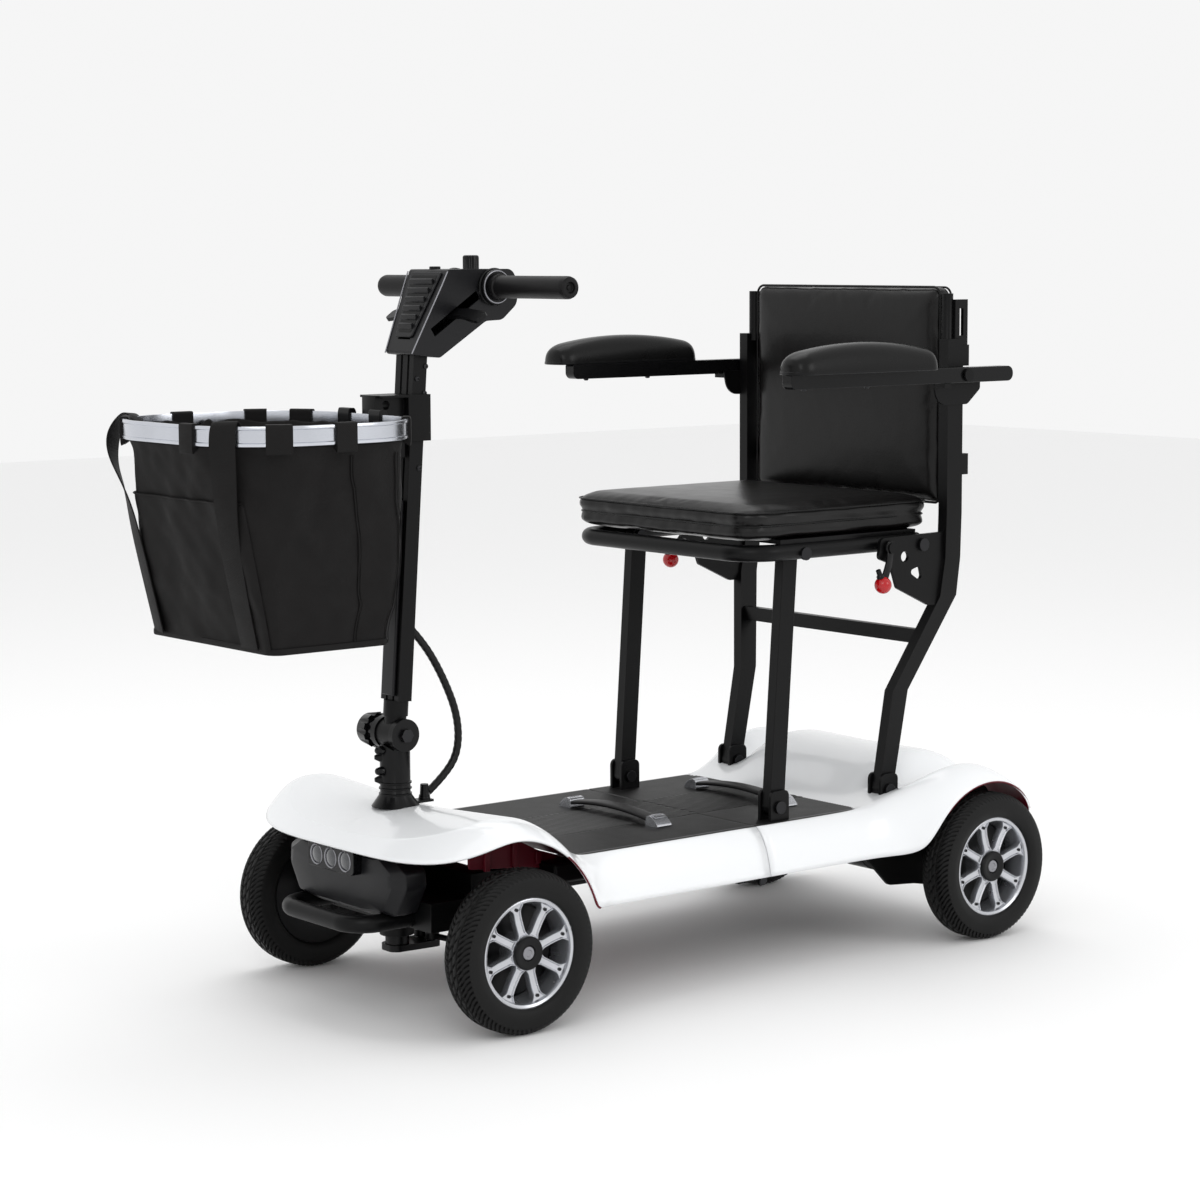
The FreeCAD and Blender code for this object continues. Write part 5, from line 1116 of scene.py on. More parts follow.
# ---- front end ------------------------------------------------------------
@dataclass
class FrontEnd:
    """Lamp, lenses and bumper panel at the nose; the bent tube there is refined with the frame parts."""

    shop: Workshop
    lens_pitch: float = 31.0
    lens_z: float = 193.0
    lens_y: float = -389.0

    def build(self) -> None:
        """Refines the panel and adds rings and faces to the lamp."""
        self.shop.refined("headlight_housing", GLOSS_CASE, 1.6)
        self.shop.piece("bumper_plate", self._plate(), DARK_CASE, "front_chassis",
                        Dress(bevel_mm=1.4, bevel_steps=3, sharp_degrees=25), ("bumper_panel",))
        rings, eyes = None, None
        for index in (-1, 0, 1):
            centre = (index * self.lens_pitch, self.lens_y, self.lens_z)
            ring = lathe([(13.2, 2.0), (13.4, -1.2), (12.6, -2.0), (11.4, -1.0), (11.0, 1.8)],
                         centre, 48, "Y", closed=True)
            eye = lathe([(11.2, 1.6), (10.6, -0.2), (8.0, -1.6), (4.5, -2.4), (0.2, -2.7)],
                        centre, 48, "Y")
            rings = ring if rings is None else rings + ring
            eyes = eye if eyes is None else eyes + eye
        self.shop.piece("lamp_rings", rings, TRIM_LINE, "front_chassis")
        self.shop.piece("lamp_eyes", eyes, LENS, "front_chassis", Dress(),
                        ("headlight_lenses",))
        shelf = brick((137, 174), (-176, -92), (158, 183)).both()
        self.shop.piece("well_shelf", shelf, BLACK_CASE, "front_chassis", Dress(bevel_mm=3.0))
        self.shop.piece("well_liners", self._liners(), RED_LINER, "front_chassis",
                        Dress(bevel_mm=1.0), ("fender_liners",))

    @staticmethod
    def _plate() -> Shape:
        """The dark panel under the lamp: cut corners, and a raised middle inside a sloping rim.

        Returns:
            The panel.
        """
        outer = rounded([(0, 208), (96, 208), (127, 190), (129, 170), (106, 133), (60, 128), (0, 128)], 5)
        half = np.array([p for p in outer if p[0] > 0.5])
        ring = np.concatenate([half, half[::-1] * (-1, 1)])
        middle = np.array([0, 168])
        rings = []
        for y, size in ((-334, 0.97), (-352, 1.0), (-366, 0.985), (-369.5, 0.93), (-376.0, 0.86),
                        (-377.5, 0.80), (-378.0, 0.5), (-378.0, 0.1)):
            flat = middle + (ring - middle) * size
            rings.append(np.stack([flat[:, 0], np.full(len(flat), y), flat[:, 1]], -1))
        return surface(np.array(rings) * MM, wrap_cols=True, cap=True)

    @staticmethod
    def _liners() -> Shape:
        """Upright maroon walls inboard of the front wheels, with three ribs on each.

        Returns:
            The walls.
        """
        outline = [(-284, 186), (-284, 241), (-262, 240), (-232, 229), (-205, 211), (-178, 197),
                   (-150, 188), (-140, 180), (-160, 172), (-200, 178)]
        wall = slab(rounded(outline, 4), 139, 142, "X")
        for y, top in ((-258.0, 236), (-216.0, 214), (-180.0, 196)):
            wall = wall + brick((141.5, 146.5), (y - 4, y + 4), (181, top))
        return wall.both()


@dataclass
class Cable:
    """The wrapped cable from the bonnet up to the tiller post."""

    shop: Workshop
    radius: float = 5.0
    lobes: int = 3
    lay_mm: float = 26.0
    route: tuple = ((24.5, 467), (46, 446), (74, 402), (96, 352), (98, 308), (80, 279), (50, 258))
    y_steer: float = STEER_Y

    def build(self) -> None:
        line = self.centreline()
        steps = np.linalg.norm(np.diff(line, axis=0), axis=1)
        run = np.concatenate([[0], np.cumsum(steps)])
        self.length = float(run[-1])
        tangent = np.gradient(line, axis=0)
        tangent /= np.linalg.norm(tangent, axis=1, keepdims=True)
        side = np.array([1.0, 0.0, 0.0])
        normal = np.cross(tangent, side)
        angle = np.linspace(0, 2 * np.pi, 30, endpoint=False)[None, :]
        twist = (run / MM / self.lay_mm * 2 * np.pi)[:, None]
        bulge = self.radius * (0.9 + 0.1 * np.abs(np.cos((angle + twist) * self.lobes / 2)))
        net = (line[:, None] + bulge[..., None] * MM
               * (np.cos(angle)[..., None] * side + np.sin(angle)[..., None] * normal[:, None]))
        mesh = bpy.data.meshes.new("cable_wrap")
        shape = surface(net, wrap_cols=True, cap=True)
        mesh.from_pydata(shape.points.tolist(), [], shape.faces)
        obj = bpy.data.objects.new("cable_wrap", mesh)
        bpy.context.scene.collection.objects.link(obj)
        self.shop.clean(mesh, False)
        mesh.materials.append(CABLE_WRAP.material())
        mesh.shade_smooth()
        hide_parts("cable_harness")
        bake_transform(obj)
        gland = lathe([(7.6, 0), (8.0, 2), (7.2, 6), (5.8, 9), (5.4, 16), (5.1, 22)],
                      (0, self.y_steer + 44, 246.5), 32, "Z")
        self.shop.piece("cable_gland", gland, BLACK_CASE, "steering", Dress(bevel_mm=0.4))

    def centreline(self) -> np.ndarray:
        """Points along the smooth line through the route, in metres.

        Returns:
            The points, from the post to the bonnet.
        """
        curve = bpy.data.curves.new("cable_line", "CURVE")
        curve.dimensions = "3D"
        curve.resolution_u = 24
        spline_ = curve.splines.new("NURBS")
        spline_.points.add(len(self.route) - 1)
        for point, (y, z) in zip(spline_.points, self.route):
            point.co = (0.0, (self.y_steer + y) * MM, z * MM, 1.0)
        spline_.order_u = 3
        spline_.use_endpoint_u = True
        holder = bpy.data.objects.new("cable_line", curve)
        mesh = bpy.data.meshes.new_from_object(holder)
        points = np.array([v.co for v in mesh.vertices], float)
        bpy.data.meshes.remove(mesh)
        bpy.data.objects.remove(holder)
        bpy.data.curves.remove(curve)
        return points


@dataclass
class Steering:
    """The bell, the column and the clamp of the tiller."""

    shop: Workshop
    y: float = STEER_Y

    def build(self) -> None:
        """Refines the turned parts and adds the clamp's screws and collars."""
        self.shop.refined("steering_column", BLACK_CASE, 0.9)
        self.shop.refined("lock_knob", GLOSS_CASE, 0.8)
        self.shop.refined("tiller_joint", BLACK_COAT, 1.0)
        cones = None
        for z in (292.0, 318.0):
            cone = lathe([(5.6, 0), (5.6, -3), (4.2, -9), (2.4, -10.5), (0.2, -10.6)],
                         (0, self.y - 18.5, z), 28, "Y")
            cones = cone if cones is None else cones + cone
        self.shop.piece("column_cone_screws", cones, GLOSS_CASE, "steering", Dress(bevel_mm=0.5))
        rings = None
        for z in (262.0, 269.0, 276.0):
            ring = lathe([(19.0, -1.4), (20.6, -0.8), (20.6, 0.8), (19.0, 1.4)], (0, self.y, z), 48,
                         "Z", closed=True)
            rings = ring if rings is None else rings + ring
        self.shop.piece("column_rings", rings, BLACK_CASE, "steering")


@dataclass
class Tiller:
    """The post, its plate, the basket bracket and the bar with its grips."""

    shop: Workshop
    bar_y: float = BAR_Y
    bar_z: float = BAR_Z
    pivot_z: float = 337.0
    lean_degrees: float = 4.0

    def build(self) -> None:
        """Refines the post and bracket, and turns the grips."""
        self.shop.refined("tiller_post", BLACK_COAT, 0.8)
        self.shop.refined("post_plate", DARK_CASE, 0.6)
        self.shop.refined("basket_bracket", BLACK_COAT, 0.9)
        self.shop.refined("handlebar", BLACK_TUBE, 0.3)
        profile = [(11.2, 52), (15.8, 52.3), (16.0, 54), (15.9, 57), (14.3, 58.5), (14.0, 62),
                   (13.9, 120), (14.0, 186), (13.9, 190), (12.9, 193.4), (11, 194.8), (7.4, 195),
                   (6.8, 194.2), (6.6, 191.5), (5.8, 190.6), (3.2, 190.6), (2.6, 191.6), (0.2, 192)]
        grip = lathe(profile, (0, self.bar_y, self.bar_z), 56)
        self.shop.piece("grip_sleeves", grip.both(), GRIP_RUBBER, "tiller",
                        Dress(sharp_degrees=30), ("grips",))
        screws = None
        for along, side in ((455.0, 8.0), (440.0, -4.0), (422.0, 8.0), (330.0, 5.0)):
            lean = math.radians(self.lean_degrees)
            y = STEER_Y + math.sin(lean) * along + side
            z = self.pivot_z + math.cos(lean) * along
            head = lathe([(3.2, 19.0), (3.2, 20.3), (2.4, 21.0), (1.3, 21.1), (1.0, 20.2), (0.2, 20.2)],
                         (0, y, z), 20)
            screws = head if screws is None else screws + head
        self.shop.piece("post_side_screws", screws.both(), DARK_BOLT, "tiller")


@dataclass
class Console:
    """The louvred console under the bar, with its rings and its switches."""

    shop: Workshop
    bar_y: float = BAR_Y
    bar_z: float = BAR_Z
    slats: int = 6

    def build(self) -> None:
        """Refines the shell and dresses its front and its sides."""
        self.shop.refined("console_shell", DARK_CASE, 2.2)
        self.shop.refined("throttle_lever", BLACK_CASE, 1.6)
        self.shop.piece("speed_dial_knob", self._knob(), GLOSS_CASE, "speed_dial",
                        Dress(sharp_degrees=40), ("speed_knob",))
        self.shop.refined("horn_button", BLACK_CASE, 0.6)
        frame = self._panel([(-17.5, 22), (17.5, 22), (32, 109), (-32, 109)], 0.2, 2.6, 4)
        inner = self._panel([(-13.5, 28), (13.5, 28), (27, 104), (-27, 104)], 2.4, 2.9, 3)
        self.shop.piece("louvre_frame", frame, DARK_CASE, "tiller", Dress(bevel_mm=1.2, bevel_steps=3))
        self.shop.piece("louvre_recess", inner, BLACK_COAT, "tiller", Dress(bevel_mm=0.3))
        slats = None
        for index in range(self.slats):
            low = 32 + index * 11.8
            half = 13.0 + (low - 28) * 0.165
            section = [(low, 2.6), (low + 6.5, 2.6), (low + 7.6, 5.8), (low + 5.4, 6.8), (low + 0.5, 3.4)]
            slat = slab(section, -half, half, "X")
            slats = slat if slats is None else slats + slat
        self.shop.piece("louvre_slats", self._place(slats), DARK_CASE, "tiller", Dress(bevel_mm=0.8))
        # Painted highlight: a satin grey line along each front edge of the black console stands in for the
        # light that edge catches.
        edge = np.array([(28.6, 1.0), (33.4, 40.0), (37.6, 70.0), (41.0, 96.0), (42.0, 110.0)])
        path = np.stack([edge[:, 0], edge[:, 1], np.full(5, 0.6)], -1)
        line = tube(spline(path, 40), 0.9, 10)
        self.shop.piece("console_painted_highlight_line", self._place(line.both()), TRIM_LINE, "tiller")
        collar = lathe([(23, 38), (23.5, 42), (22.4, 43.4), (20.6, 43.2), (20.2, 44.6), (21.6, 45.4),
                        (21.2, 47.2), (19.6, 48), (16.4, 48), (16.0, 53.5), (12, 53.5)],
                       (0, self.bar_y, self.bar_z), 64)
        self.shop.piece("bar_collars", collar.both(), BLACK_CASE, "tiller", Dress(sharp_degrees=25))
        ring = lathe([(19.2, 47.0), (20.3, 47.4), (20.5, 48.3), (19.2, 48.7)],
                     (0, self.bar_y, self.bar_z), 64, closed=True)
        self.shop.piece("bar_ring_line", ring.both(), TRIM_LINE, "tiller")

    def _knob(self) -> Shape:
        """A fluted knob: a turned profile whose side radius falls in each of eighteen flutes.

        Returns:
            The knob.
        """
        profile = np.array([(9.6, 903.2), (10.6, 904), (10.6, 906), (10.0, 907), (10.0, 923), (9.4, 925.2),
                            (8.0, 926), (6.6, 925.4), (6.2, 924.6), (0.3, 924.4)])
        depth = np.array([0, 0, 0, 0.6, 0.9, 0.5, 0, 0, 0, 0])
        angle = np.linspace(0, 2 * np.pi, 180, endpoint=False)[None, :]
        flute = np.clip(np.cos(angle * 18), -0.2, 0.8)
        radius = profile[:, :1] - depth[:, None] * flute
        height = np.broadcast_to(profile[:, 1:], radius.shape)
        net = np.stack([radius * np.cos(angle), self.bar_y - 5 + radius * np.sin(angle), height], -1)
        return surface(net * MM, wrap_cols=True, cap=True)

    @staticmethod
    def _panel(corners: Points, low: float, high: float, radius: float) -> Shape:
        """A plate on the slanting front, from corners (side, along)."""
        plate = slab(rounded(corners, radius), low, high)
        return Console._place(plate)

    @staticmethod
    def _place(shape: Shape) -> Shape:
        """From (side, along, out) on the slanting front to the part's own frame.

        Args:
            shape: A shape drawn on the slanting front.

        Returns:
            The shape in its place.
        """
        x, along, out = (shape.points / MM).T
        y = BAR_Y - 116 + 0.415 * along - 0.910 * out
        z = BAR_Z - 81 + 0.910 * along + 0.415 * out
        return Shape(np.stack([x, y, z], -1) * MM, shape.faces)


# ---- basket ---------------------------------------------------------------
@dataclass
class Basket:
    """A sewn fabric bag hanging in an aluminium rim by webbing loops."""

    shop: Workshop
    half: float = 165.0
    front: float = -618.0
    rear: float = -328.0
    corner: float = 110.0
    top: float = 735.0
    band: float = 23.0
    middle_y: float = -473.0
    rings: int = 56
    wall_inset: float = 2.2
    clamp_places: tuple = (492.0, 559.0)
    loops: tuple = ((62, 25), (179, 30), (264, 28), (400, 26), (-128, 27), (-242, 27), (-343, 28),
                    (-402, 30))

    def build(self) -> None:
        """Makes the rim, the bag, its loops, its handles and its trimmings."""
        self._rim()
        self._bag()
        self._loops()
        self._handles()
        self._trimmings()

    @staticmethod
    def outline(half: float, front: float, rear: float, corner: float) -> np.ndarray:
        """A rounded rectangle from the middle of the front, with like points at every size.

        Args:
            half: Half width.
            front: Low end in y.
            rear: High end in y.
            corner: Corner radius.

        Returns:
            The outline, in mm.
        """
        turn = np.linspace(0, np.pi / 2, 18)[1:-1, None]
        straight = np.linspace(0, 1, 12)[:, None]
        a, b = np.array([0, front]), np.array([half - corner, front])
        c, d = np.array([half, front + corner]), np.array([half, rear - corner])
        e, f = np.array([half - corner, rear]), np.array([0, rear])
        near = np.array([half - corner, front + corner])
        far = np.array([half - corner, rear - corner])
        first = near + corner * np.concatenate([np.sin(turn), -np.cos(turn)], 1)
        second = far + corner * np.concatenate([np.cos(turn), np.sin(turn)], 1)
        right = np.concatenate([a + (b - a) * straight, first, c + (d - c) * straight, second,
                                e + (f - e) * straight])
        left = right[1:-1][::-1] * (-1, 1)
        return np.concatenate([right, left])

    def rim_point(self, run: float, inset: float = 0.0) -> tuple[np.ndarray, np.ndarray]:
        """Place and outward direction at a distance round the rim from the front's middle.

        Args:
            run: Distance in mm.
            inset: How far inside the rim's outer edge.

        Returns:
            The place and the direction.
        """
        ring = self.outline(self.half - inset, self.front + inset, self.rear - inset,
                            self.corner - inset)
        closed = np.concatenate([ring, ring[:1]])
        steps = np.concatenate([[0], np.cumsum(np.linalg.norm(np.diff(closed, axis=0), axis=1))])
        at = np.array([np.interp(run % steps[-1], steps, closed[:, k]) for k in (0, 1)])
        ahead = np.array([np.interp((run + 1) % steps[-1], steps, closed[:, k]) for k in (0, 1)])
        along = (ahead - at) / np.linalg.norm(ahead - at)
        return at, np.array([along[1], -along[0]])

    def bag_net(self, offset: float = 0.0) -> np.ndarray:
        """Rings of the bag from its hem to its bottom edge: outlines that shrink and square up.

        Args:
            offset: How far outside the bag's skin, in mm.

        Returns:
            Rings by points by 3, in mm.
        """
        rings = []
        for t in np.linspace(0, 1, self.rings):
            half = 158.5 - 21.0 * t + offset
            front = -611.0 + 56.5 * t - offset
            rear = -335.0 - 56.0 * t ** 1.3 + offset
            corner = 104 - 88 * ease(np.array(t * 1.15)) ** 0.8
            ring = self.outline(half, front, rear, float(corner))
            z = 711.0 - 238.0 * t
            rings.append(np.concatenate([ring, np.full((len(ring), 1), z)], 1))
        net = np.array(rings)
        middle = np.array([0, self.middle_y, 0])
        outward = (net - middle) * (1, 1, 0)
        outward /= np.linalg.norm(outward, axis=-1, keepdims=True)
        t = np.linspace(0, 1, self.rings)[:, None]
        flat = net.reshape(-1, 3)
        broad = ripple(flat * (1, 1, 0.55), 95, 3).reshape(net.shape[:2])
        fine = ripple(flat * (1, 1, 0.8) + (0, 0, 1) * flat[:, :1] * 0.6, 38, 8).reshape(net.shape[:2])
        hang = ripple(flat * (1, 1, 0.08), 30, 5).reshape(net.shape[:2])
        slant = np.zeros(net.shape[:2])
        for y, z, length, tilt in ((-455, 560, 60, 0.9), (-440, 520, 55, 0.5), (-510, 600, 70, -1.0),
                                   (-560, 560, 60, 1.2), (-480, 650, 60, 0.3), (-430, 620, 45, 1.3)):
            along = (net[..., 1] - y) * math.cos(tilt) + (net[..., 2] - z) * math.sin(tilt)
            away = -(net[..., 1] - y) * math.sin(tilt) + (net[..., 2] - z) * math.cos(tilt)
            slant += 3.4 * np.exp(-(away / 7) ** 2 - (along / length * 1.6) ** 2)
        hold = ease(t / 0.06) * ease((1 - t) / 0.05)
        wrinkle = (3.2 * broad + 1.9 * fine + slant) * hold + 2.2 * hang * np.exp(-t / 0.16) * ease(t / 0.03)
        return net + outward * (wrinkle - 2.6 * hold)[..., None]

    def _rim(self) -> None:
        """An aluminium band with two grooves, lying inside plastic end clamps."""
        inset = self.wall_inset
        centre = self.outline(self.half - inset, self.front + inset, self.rear - inset,
                              self.corner - inset)
        low = self.top - self.band
        ring = np.concatenate([centre, np.full((len(centre), 1), low + self.band / 2)], 1)
        h = self.band / 2
        section = [(-2.0, -h), (2.0, -h), (2.4, -h + 0.8), (2.4, -h + 3.6), (1.3, -h + 4.4),
                   (1.3, h - 4.4), (2.4, h - 3.6), (2.4, h - 0.8), (2.0, h), (-2.0, h),
                   (-2.2, h - 1), (-2.2, -h + 1)]
        band = sweep(ring, section, closed=True)
        self.shop.piece("basket_band", band, RIM_ALUMINIUM, "basket", Dress(sharp_degrees=30),
                        ("basket_rim",))
        clamp = rounded([(-3.5, 690), (5.6, 690), (7.4, 700), (7.4, 736), (5.2, 741), (-3.5, 741),
                         (-5.0, 735), (-5.0, 694)], 2.2)
        blocks = None
        for run in self.clamp_places:
            block = self._hugging(run, 24.0, clamp)
            blocks = block if blocks is None else blocks + block
        self.shop.piece("rim_end_clamps", blocks, BLACK_CASE, "basket", Dress(bevel_mm=1.0))

    def _hugging(self, run: float, width: float, section: Points) -> Shape:
        """A section (outward, height) carried along a short stretch of the rim.

        Args:
            run: Middle of the stretch.
            width: Its length.
            section: The closed outline.

        Returns:
            The solid.
        """
        rings = []
        for step in np.linspace(-width / 2, width / 2, 9):
            place, outward = self.rim_point(run + step, self.wall_inset)
            out = np.asarray(section)[:, :1] * outward
            rings.append(np.concatenate([place + out, np.asarray(section)[:, 1:]], 1))
        return surface(np.array(rings) * MM, wrap_cols=True, cap=True)

    def _bag(self) -> None:
        """The wall of the bag, its floor, and its crumpled lining."""
        net = self.bag_net()
        self.shop.piece("bag_wall", surface(net[::-1] * MM, wrap_cols=True), BAG_FABRIC, "basket",
                        Dress(wall_mm=1.1, subdivide=1, open_skin=True, sharp_degrees=180),
                        ("basket_bag",))
        base = net[-1]
        centre = np.array([0, self.middle_y, 475.5])
        floor = np.array([base + (centre - base) * f for f in np.linspace(0, 0.999, 14)])
        floor[..., 2] += 1.2 * ripple(floor.reshape(-1, 3), 60, 4).reshape(floor.shape[:2])
        self.shop.piece("bag_floor", surface(floor * MM, wrap_cols=True), BAG_FABRIC, "basket",
                        Dress(wall_mm=1.1, open_skin=True, sharp_degrees=180))
        rings = self.bag_net(-5.0)[:34]
        t = np.linspace(0, 1, 34)[:, None]
        flat = rings.reshape(-1, 3)
        folds = ripple(flat * (1, 1, 0.25), 26, 9).reshape(rings.shape[:2])
        inward = (np.array([0, self.middle_y, 0]) - rings) * (1, 1, 0)
        inward /= np.linalg.norm(inward, axis=-1, keepdims=True)
        pull = (4.0 + 7.0 * np.abs(folds)) * ease(t / 0.15)
        lining = rings + inward * pull[..., None]
        lining[..., 2] += (6 * folds + 13) * (1 - t) ** 2
        self.shop.piece("bag_lining", surface(lining[::-1] * MM, wrap_cols=True), BAG_FABRIC, "basket",
                        Dress(wall_mm=0.9, subdivide=1, open_skin=True, sharp_degrees=180))

    def _loops(self) -> None:
        """Webbing loops folded over the rim and sewn to the bag's hem."""
        low, high = 702.0, self.top + 2.4
        section = rounded([(-4.6, low + 6), (4.4, low), (5.4, low + 6), (5.4, high - 2), (4.0, high),
                           (-3.8, high), (-5.4, high - 2), (-5.4, low + 10)], 1.8)
        loops = None
        for run, width in self.loops:
            loop = self._hugging(run, width, section)
            loops = loop if loops is None else loops + loop
        self.shop.piece("rim_loops", loops, STRAP_WEB, "basket", Dress(bevel_mm=0.7))

    def _ribbon(self, points: Points, outwards: Points, width: float, samples: int = 70) -> Shape:
        """A flat strap along a smooth path, facing the given directions.

        Args:
            points: Control points of the path, in mm.
            outwards: Direction of its face at each.
            width: Width of the strap.
            samples: Points along it.

        Returns:
            The strap.
        """
        path = spline(points, samples)
        face = spline(outwards, samples)
        section = rounded([(-width / 2, -0.9), (width / 2, -0.9), (width / 2, 0.9), (-width / 2, 0.9)],
                          0.5, 3)
        return sweep(path, section, up=face)

    def _handles(self) -> None:
        """Two webbing handles sewn down the front and over the rim."""
        near = [(96, -559.5, 476), (98, -575, 540), (102, -588.5, 600), (108, -596, 640),
                (113, -600.5, 672), (117, -605, 700), (117, -605, 728), (114, -599, 742.5),
                (110, -591, 738), (109, -583, 708), (107, -574, 668)]
        face = [(0.05, -1, 0.2), (0.1, -1, 0.2), (0.2, -1, 0.2), (0.35, -1, 0.2), (0.5, -1, 0.15),
                (0.55, -0.85, 0.1), (0.55, -0.85, 0.1), (0.1, -0.3, 1), (-0.4, 0.7, 0.8),
                (-0.55, 0.85, 0.2), (-0.55, 0.85, 0.1)]
        self.shop.piece("bag_handle_near", self._ribbon(near, face, 33), STRAP_WEB, "basket",
                        Dress(sharp_degrees=50))
        far = [(-112, -557.5, 476), (-114, -572, 540), (-117, -585, 600), (-121, -591, 636),
               (-130, -596, 662), (-147, -597, 684), (-160, -590, 710), (-157, -578, 735),
               (-146, -569, 743), (-136, -563, 725), (-126, -558, 680)]
        face = [(-0.2, -1, 0.2)] * 3 + [(-0.4, -0.9, 0), (-0.6, -0.8, -0.2), (-0.75, -0.6, -0.1),
                                        (-0.9, -0.4, 0.1), (-0.5, -0.3, 0.8), (0, 0.1, 1),
                                        (0.6, 0.5, 0.6), (0.8, 0.6, 0.1)]
        self.shop.piece("bag_handle_far", self._ribbon(far, face, 30), STRAP_WEB, "basket",
                        Dress(sharp_degrees=50))

    def _trimmings(self) -> None:
        """Pocket, seams, bottom binding and hem."""
        net = self.bag_net(0.7)
        count = net.shape[1]
        columns = np.arange(-19, 19) % count
        rows = np.arange(15, self.rings)
        pocket = net[np.ix_(rows, columns)]
        pocket[:, :, 1] -= 1.2
        self.shop.piece("bag_pocket", surface(pocket[::-1] * MM), BAG_FABRIC, "basket",
                        Dress(wall_mm=1.2, subdivide=1, open_skin=True, sharp_degrees=180))
        hem = pocket[0] + (0, -0.6, 0)
        self.shop.piece("pocket_hem", tube(hem, 1.2, 8, up=(0, 1, 0.2)), STRAP_WEB, "basket")
        seams = None
        for column in (36, 45):
            run = net[3:self.rings, column] + (0.5, 0, 0)
            seam = tube(run, 0.9, 8, up=(1, 0, 0)) + tube(run + (0, 3.2, 0), 0.5, 8, up=(1, 0, 0))
            seams = seam if seams is None else seams + seam
        self.shop.piece("bag_side_seams", seams.both(), STRAP_WEB, "basket")
        base = net[-1] + (0, 0, 1.5)
        section = superellipse(1.9, 4.0, 3, 16)
        self.shop.piece("bag_binding", sweep(base, section, closed=True), STRAP_WEB, "basket",
                        Dress(sharp_degrees=60))


# ---- seat -----------------------------------------------------------------
@dataclass
class Upholstery:
    """Padded leather: a crowned closed form, puffed by a cloth run and sewn afterwards."""

    shop: Workshop
    voxel_mm: float = 4.5
    cap_mm: float = 2.6
    pressure: float = 4.0
    steps: int = 20
    fill: float = 0.85

    @staticmethod
    def pad(levels: Points, corner_front: float, corner_rear: float, half: float, low: float,
            high: float) -> np.ndarray:
        """Rings of a cushion: its plan outline drawn in by each level's inset.

        Args:
            levels: (inset, height) pairs, from the bottom to the top, in mm.
            corner_front: Rounding at the low end of the length.
            corner_rear: Rounding at the high end of the length.
            half: Half width.
            low: Low end of the length.
            high: High end of the length.

        Returns:
            Rings by points by (across, along, height).
        """
        turn = np.linspace(0, np.pi / 2, 12)[:, None]
        rings = []
        for inset, height in levels:
            h, a, b = half - inset, low + inset, high - inset
            rf, rr = max(corner_front - inset, 4.0), max(corner_rear - inset, 4.0)
            front = np.array([h - rf, a + rf]) + rf * np.concatenate([np.sin(turn), -np.cos(turn)], 1)
            rear = np.array([h - rr, b - rr]) + rr * np.concatenate([np.cos(turn), np.sin(turn)], 1)
            t = np.linspace(0, 1, 26)[1:-1, None]
            side = front[-1] + (rear[0] - front[-1]) * t
            start = np.array([0, a]) + (front[0] - (0, a)) * np.linspace(0, 1, 14)[:-1, None]
            finish = rear[-1] + (np.array([0, b]) - rear[-1]) * np.linspace(0, 1, 14)[1:, None]
            right = np.concatenate([start, front, side, rear, finish])
            ring = np.concatenate([right, right[1:-1][::-1] * (-1, 1)])
            rings.append(np.concatenate([ring, np.full((len(ring), 1), height)], 1))
        return np.array(rings)

    @staticmethod
    def closed(rings: np.ndarray) -> Shape:
        """Rings joined, with their ends drawn to a line of quads and a last face."""
        return surface(rings * MM, wrap_cols=True, cap=True)

    def puffed(self, name: str, shape: Shape) -> Shape:
        """The shape after some steps of cloth under pressure, its moves capped.

        Args:
            name: Name of the working object.
            shape: The closed form.

        Returns:
            The puffed shape.
        """
        mesh = bpy.data.meshes.new(name)
        mesh.from_pydata(shape.points.tolist(), [], shape.faces)
        obj = bpy.data.objects.new(name, mesh)
        bpy.context.scene.collection.objects.link(obj)
        self.shop.clean(mesh, False)
        remesh = obj.modifiers.new("remesh", "REMESH")
        remesh.mode = "VOXEL"
        remesh.voxel_size = self.voxel_mm * MM
        flat = self._baked(obj)
        rest = self._points(flat.data)
        cloth = flat.modifiers.new("cloth", "CLOTH")
        cloth.settings.use_pressure = True
        cloth.settings.uniform_pressure_force = self.pressure
        cloth.settings.effector_weights.gravity = 0.0
        cloth.settings.quality = 5
        for step in range(1, self.steps + 1):
            bpy.context.scene.frame_set(step)
        done = self._baked(flat)
        bpy.context.scene.frame_set(1)
        flat = done
        moved = self._points(flat.data) - rest
        length = np.linalg.norm(moved, axis=1, keepdims=True)
        limit = self.cap_mm * MM
        moved *= np.where(length > limit, limit / np.maximum(length, 1e-9), 1.0)
        points = rest + moved
        faces = [tuple(p.vertices) for p in flat.data.polygons]
        bpy.data.objects.remove(flat)
        return Shape(points, faces)

    @staticmethod
    def _baked(obj: bpy.types.Object) -> bpy.types.Object:
        """A new object with the modifiers' result as its mesh, in place of the old one.

        Args:
            obj: The object with its modifiers.

        Returns:
            The new object.
        """
        graph = bpy.context.evaluated_depsgraph_get()
        mesh = bpy.data.meshes.new_from_object(obj.evaluated_get(graph))
        name = obj.name
        bpy.data.objects.remove(obj)
        baked = bpy.data.objects.new(name, mesh)
        bpy.context.scene.collection.objects.link(baked)
        return baked

    @staticmethod
    def _points(mesh: bpy.types.Mesh) -> np.ndarray:
        """The points of a mesh as an array.

        Args:
            mesh: The mesh.

        Returns:
            Its points, by 3.
        """
        flat = np.empty(len(mesh.vertices) * 3)
        mesh.vertices.foreach_get("co", flat)
        return flat.reshape(-1, 3)


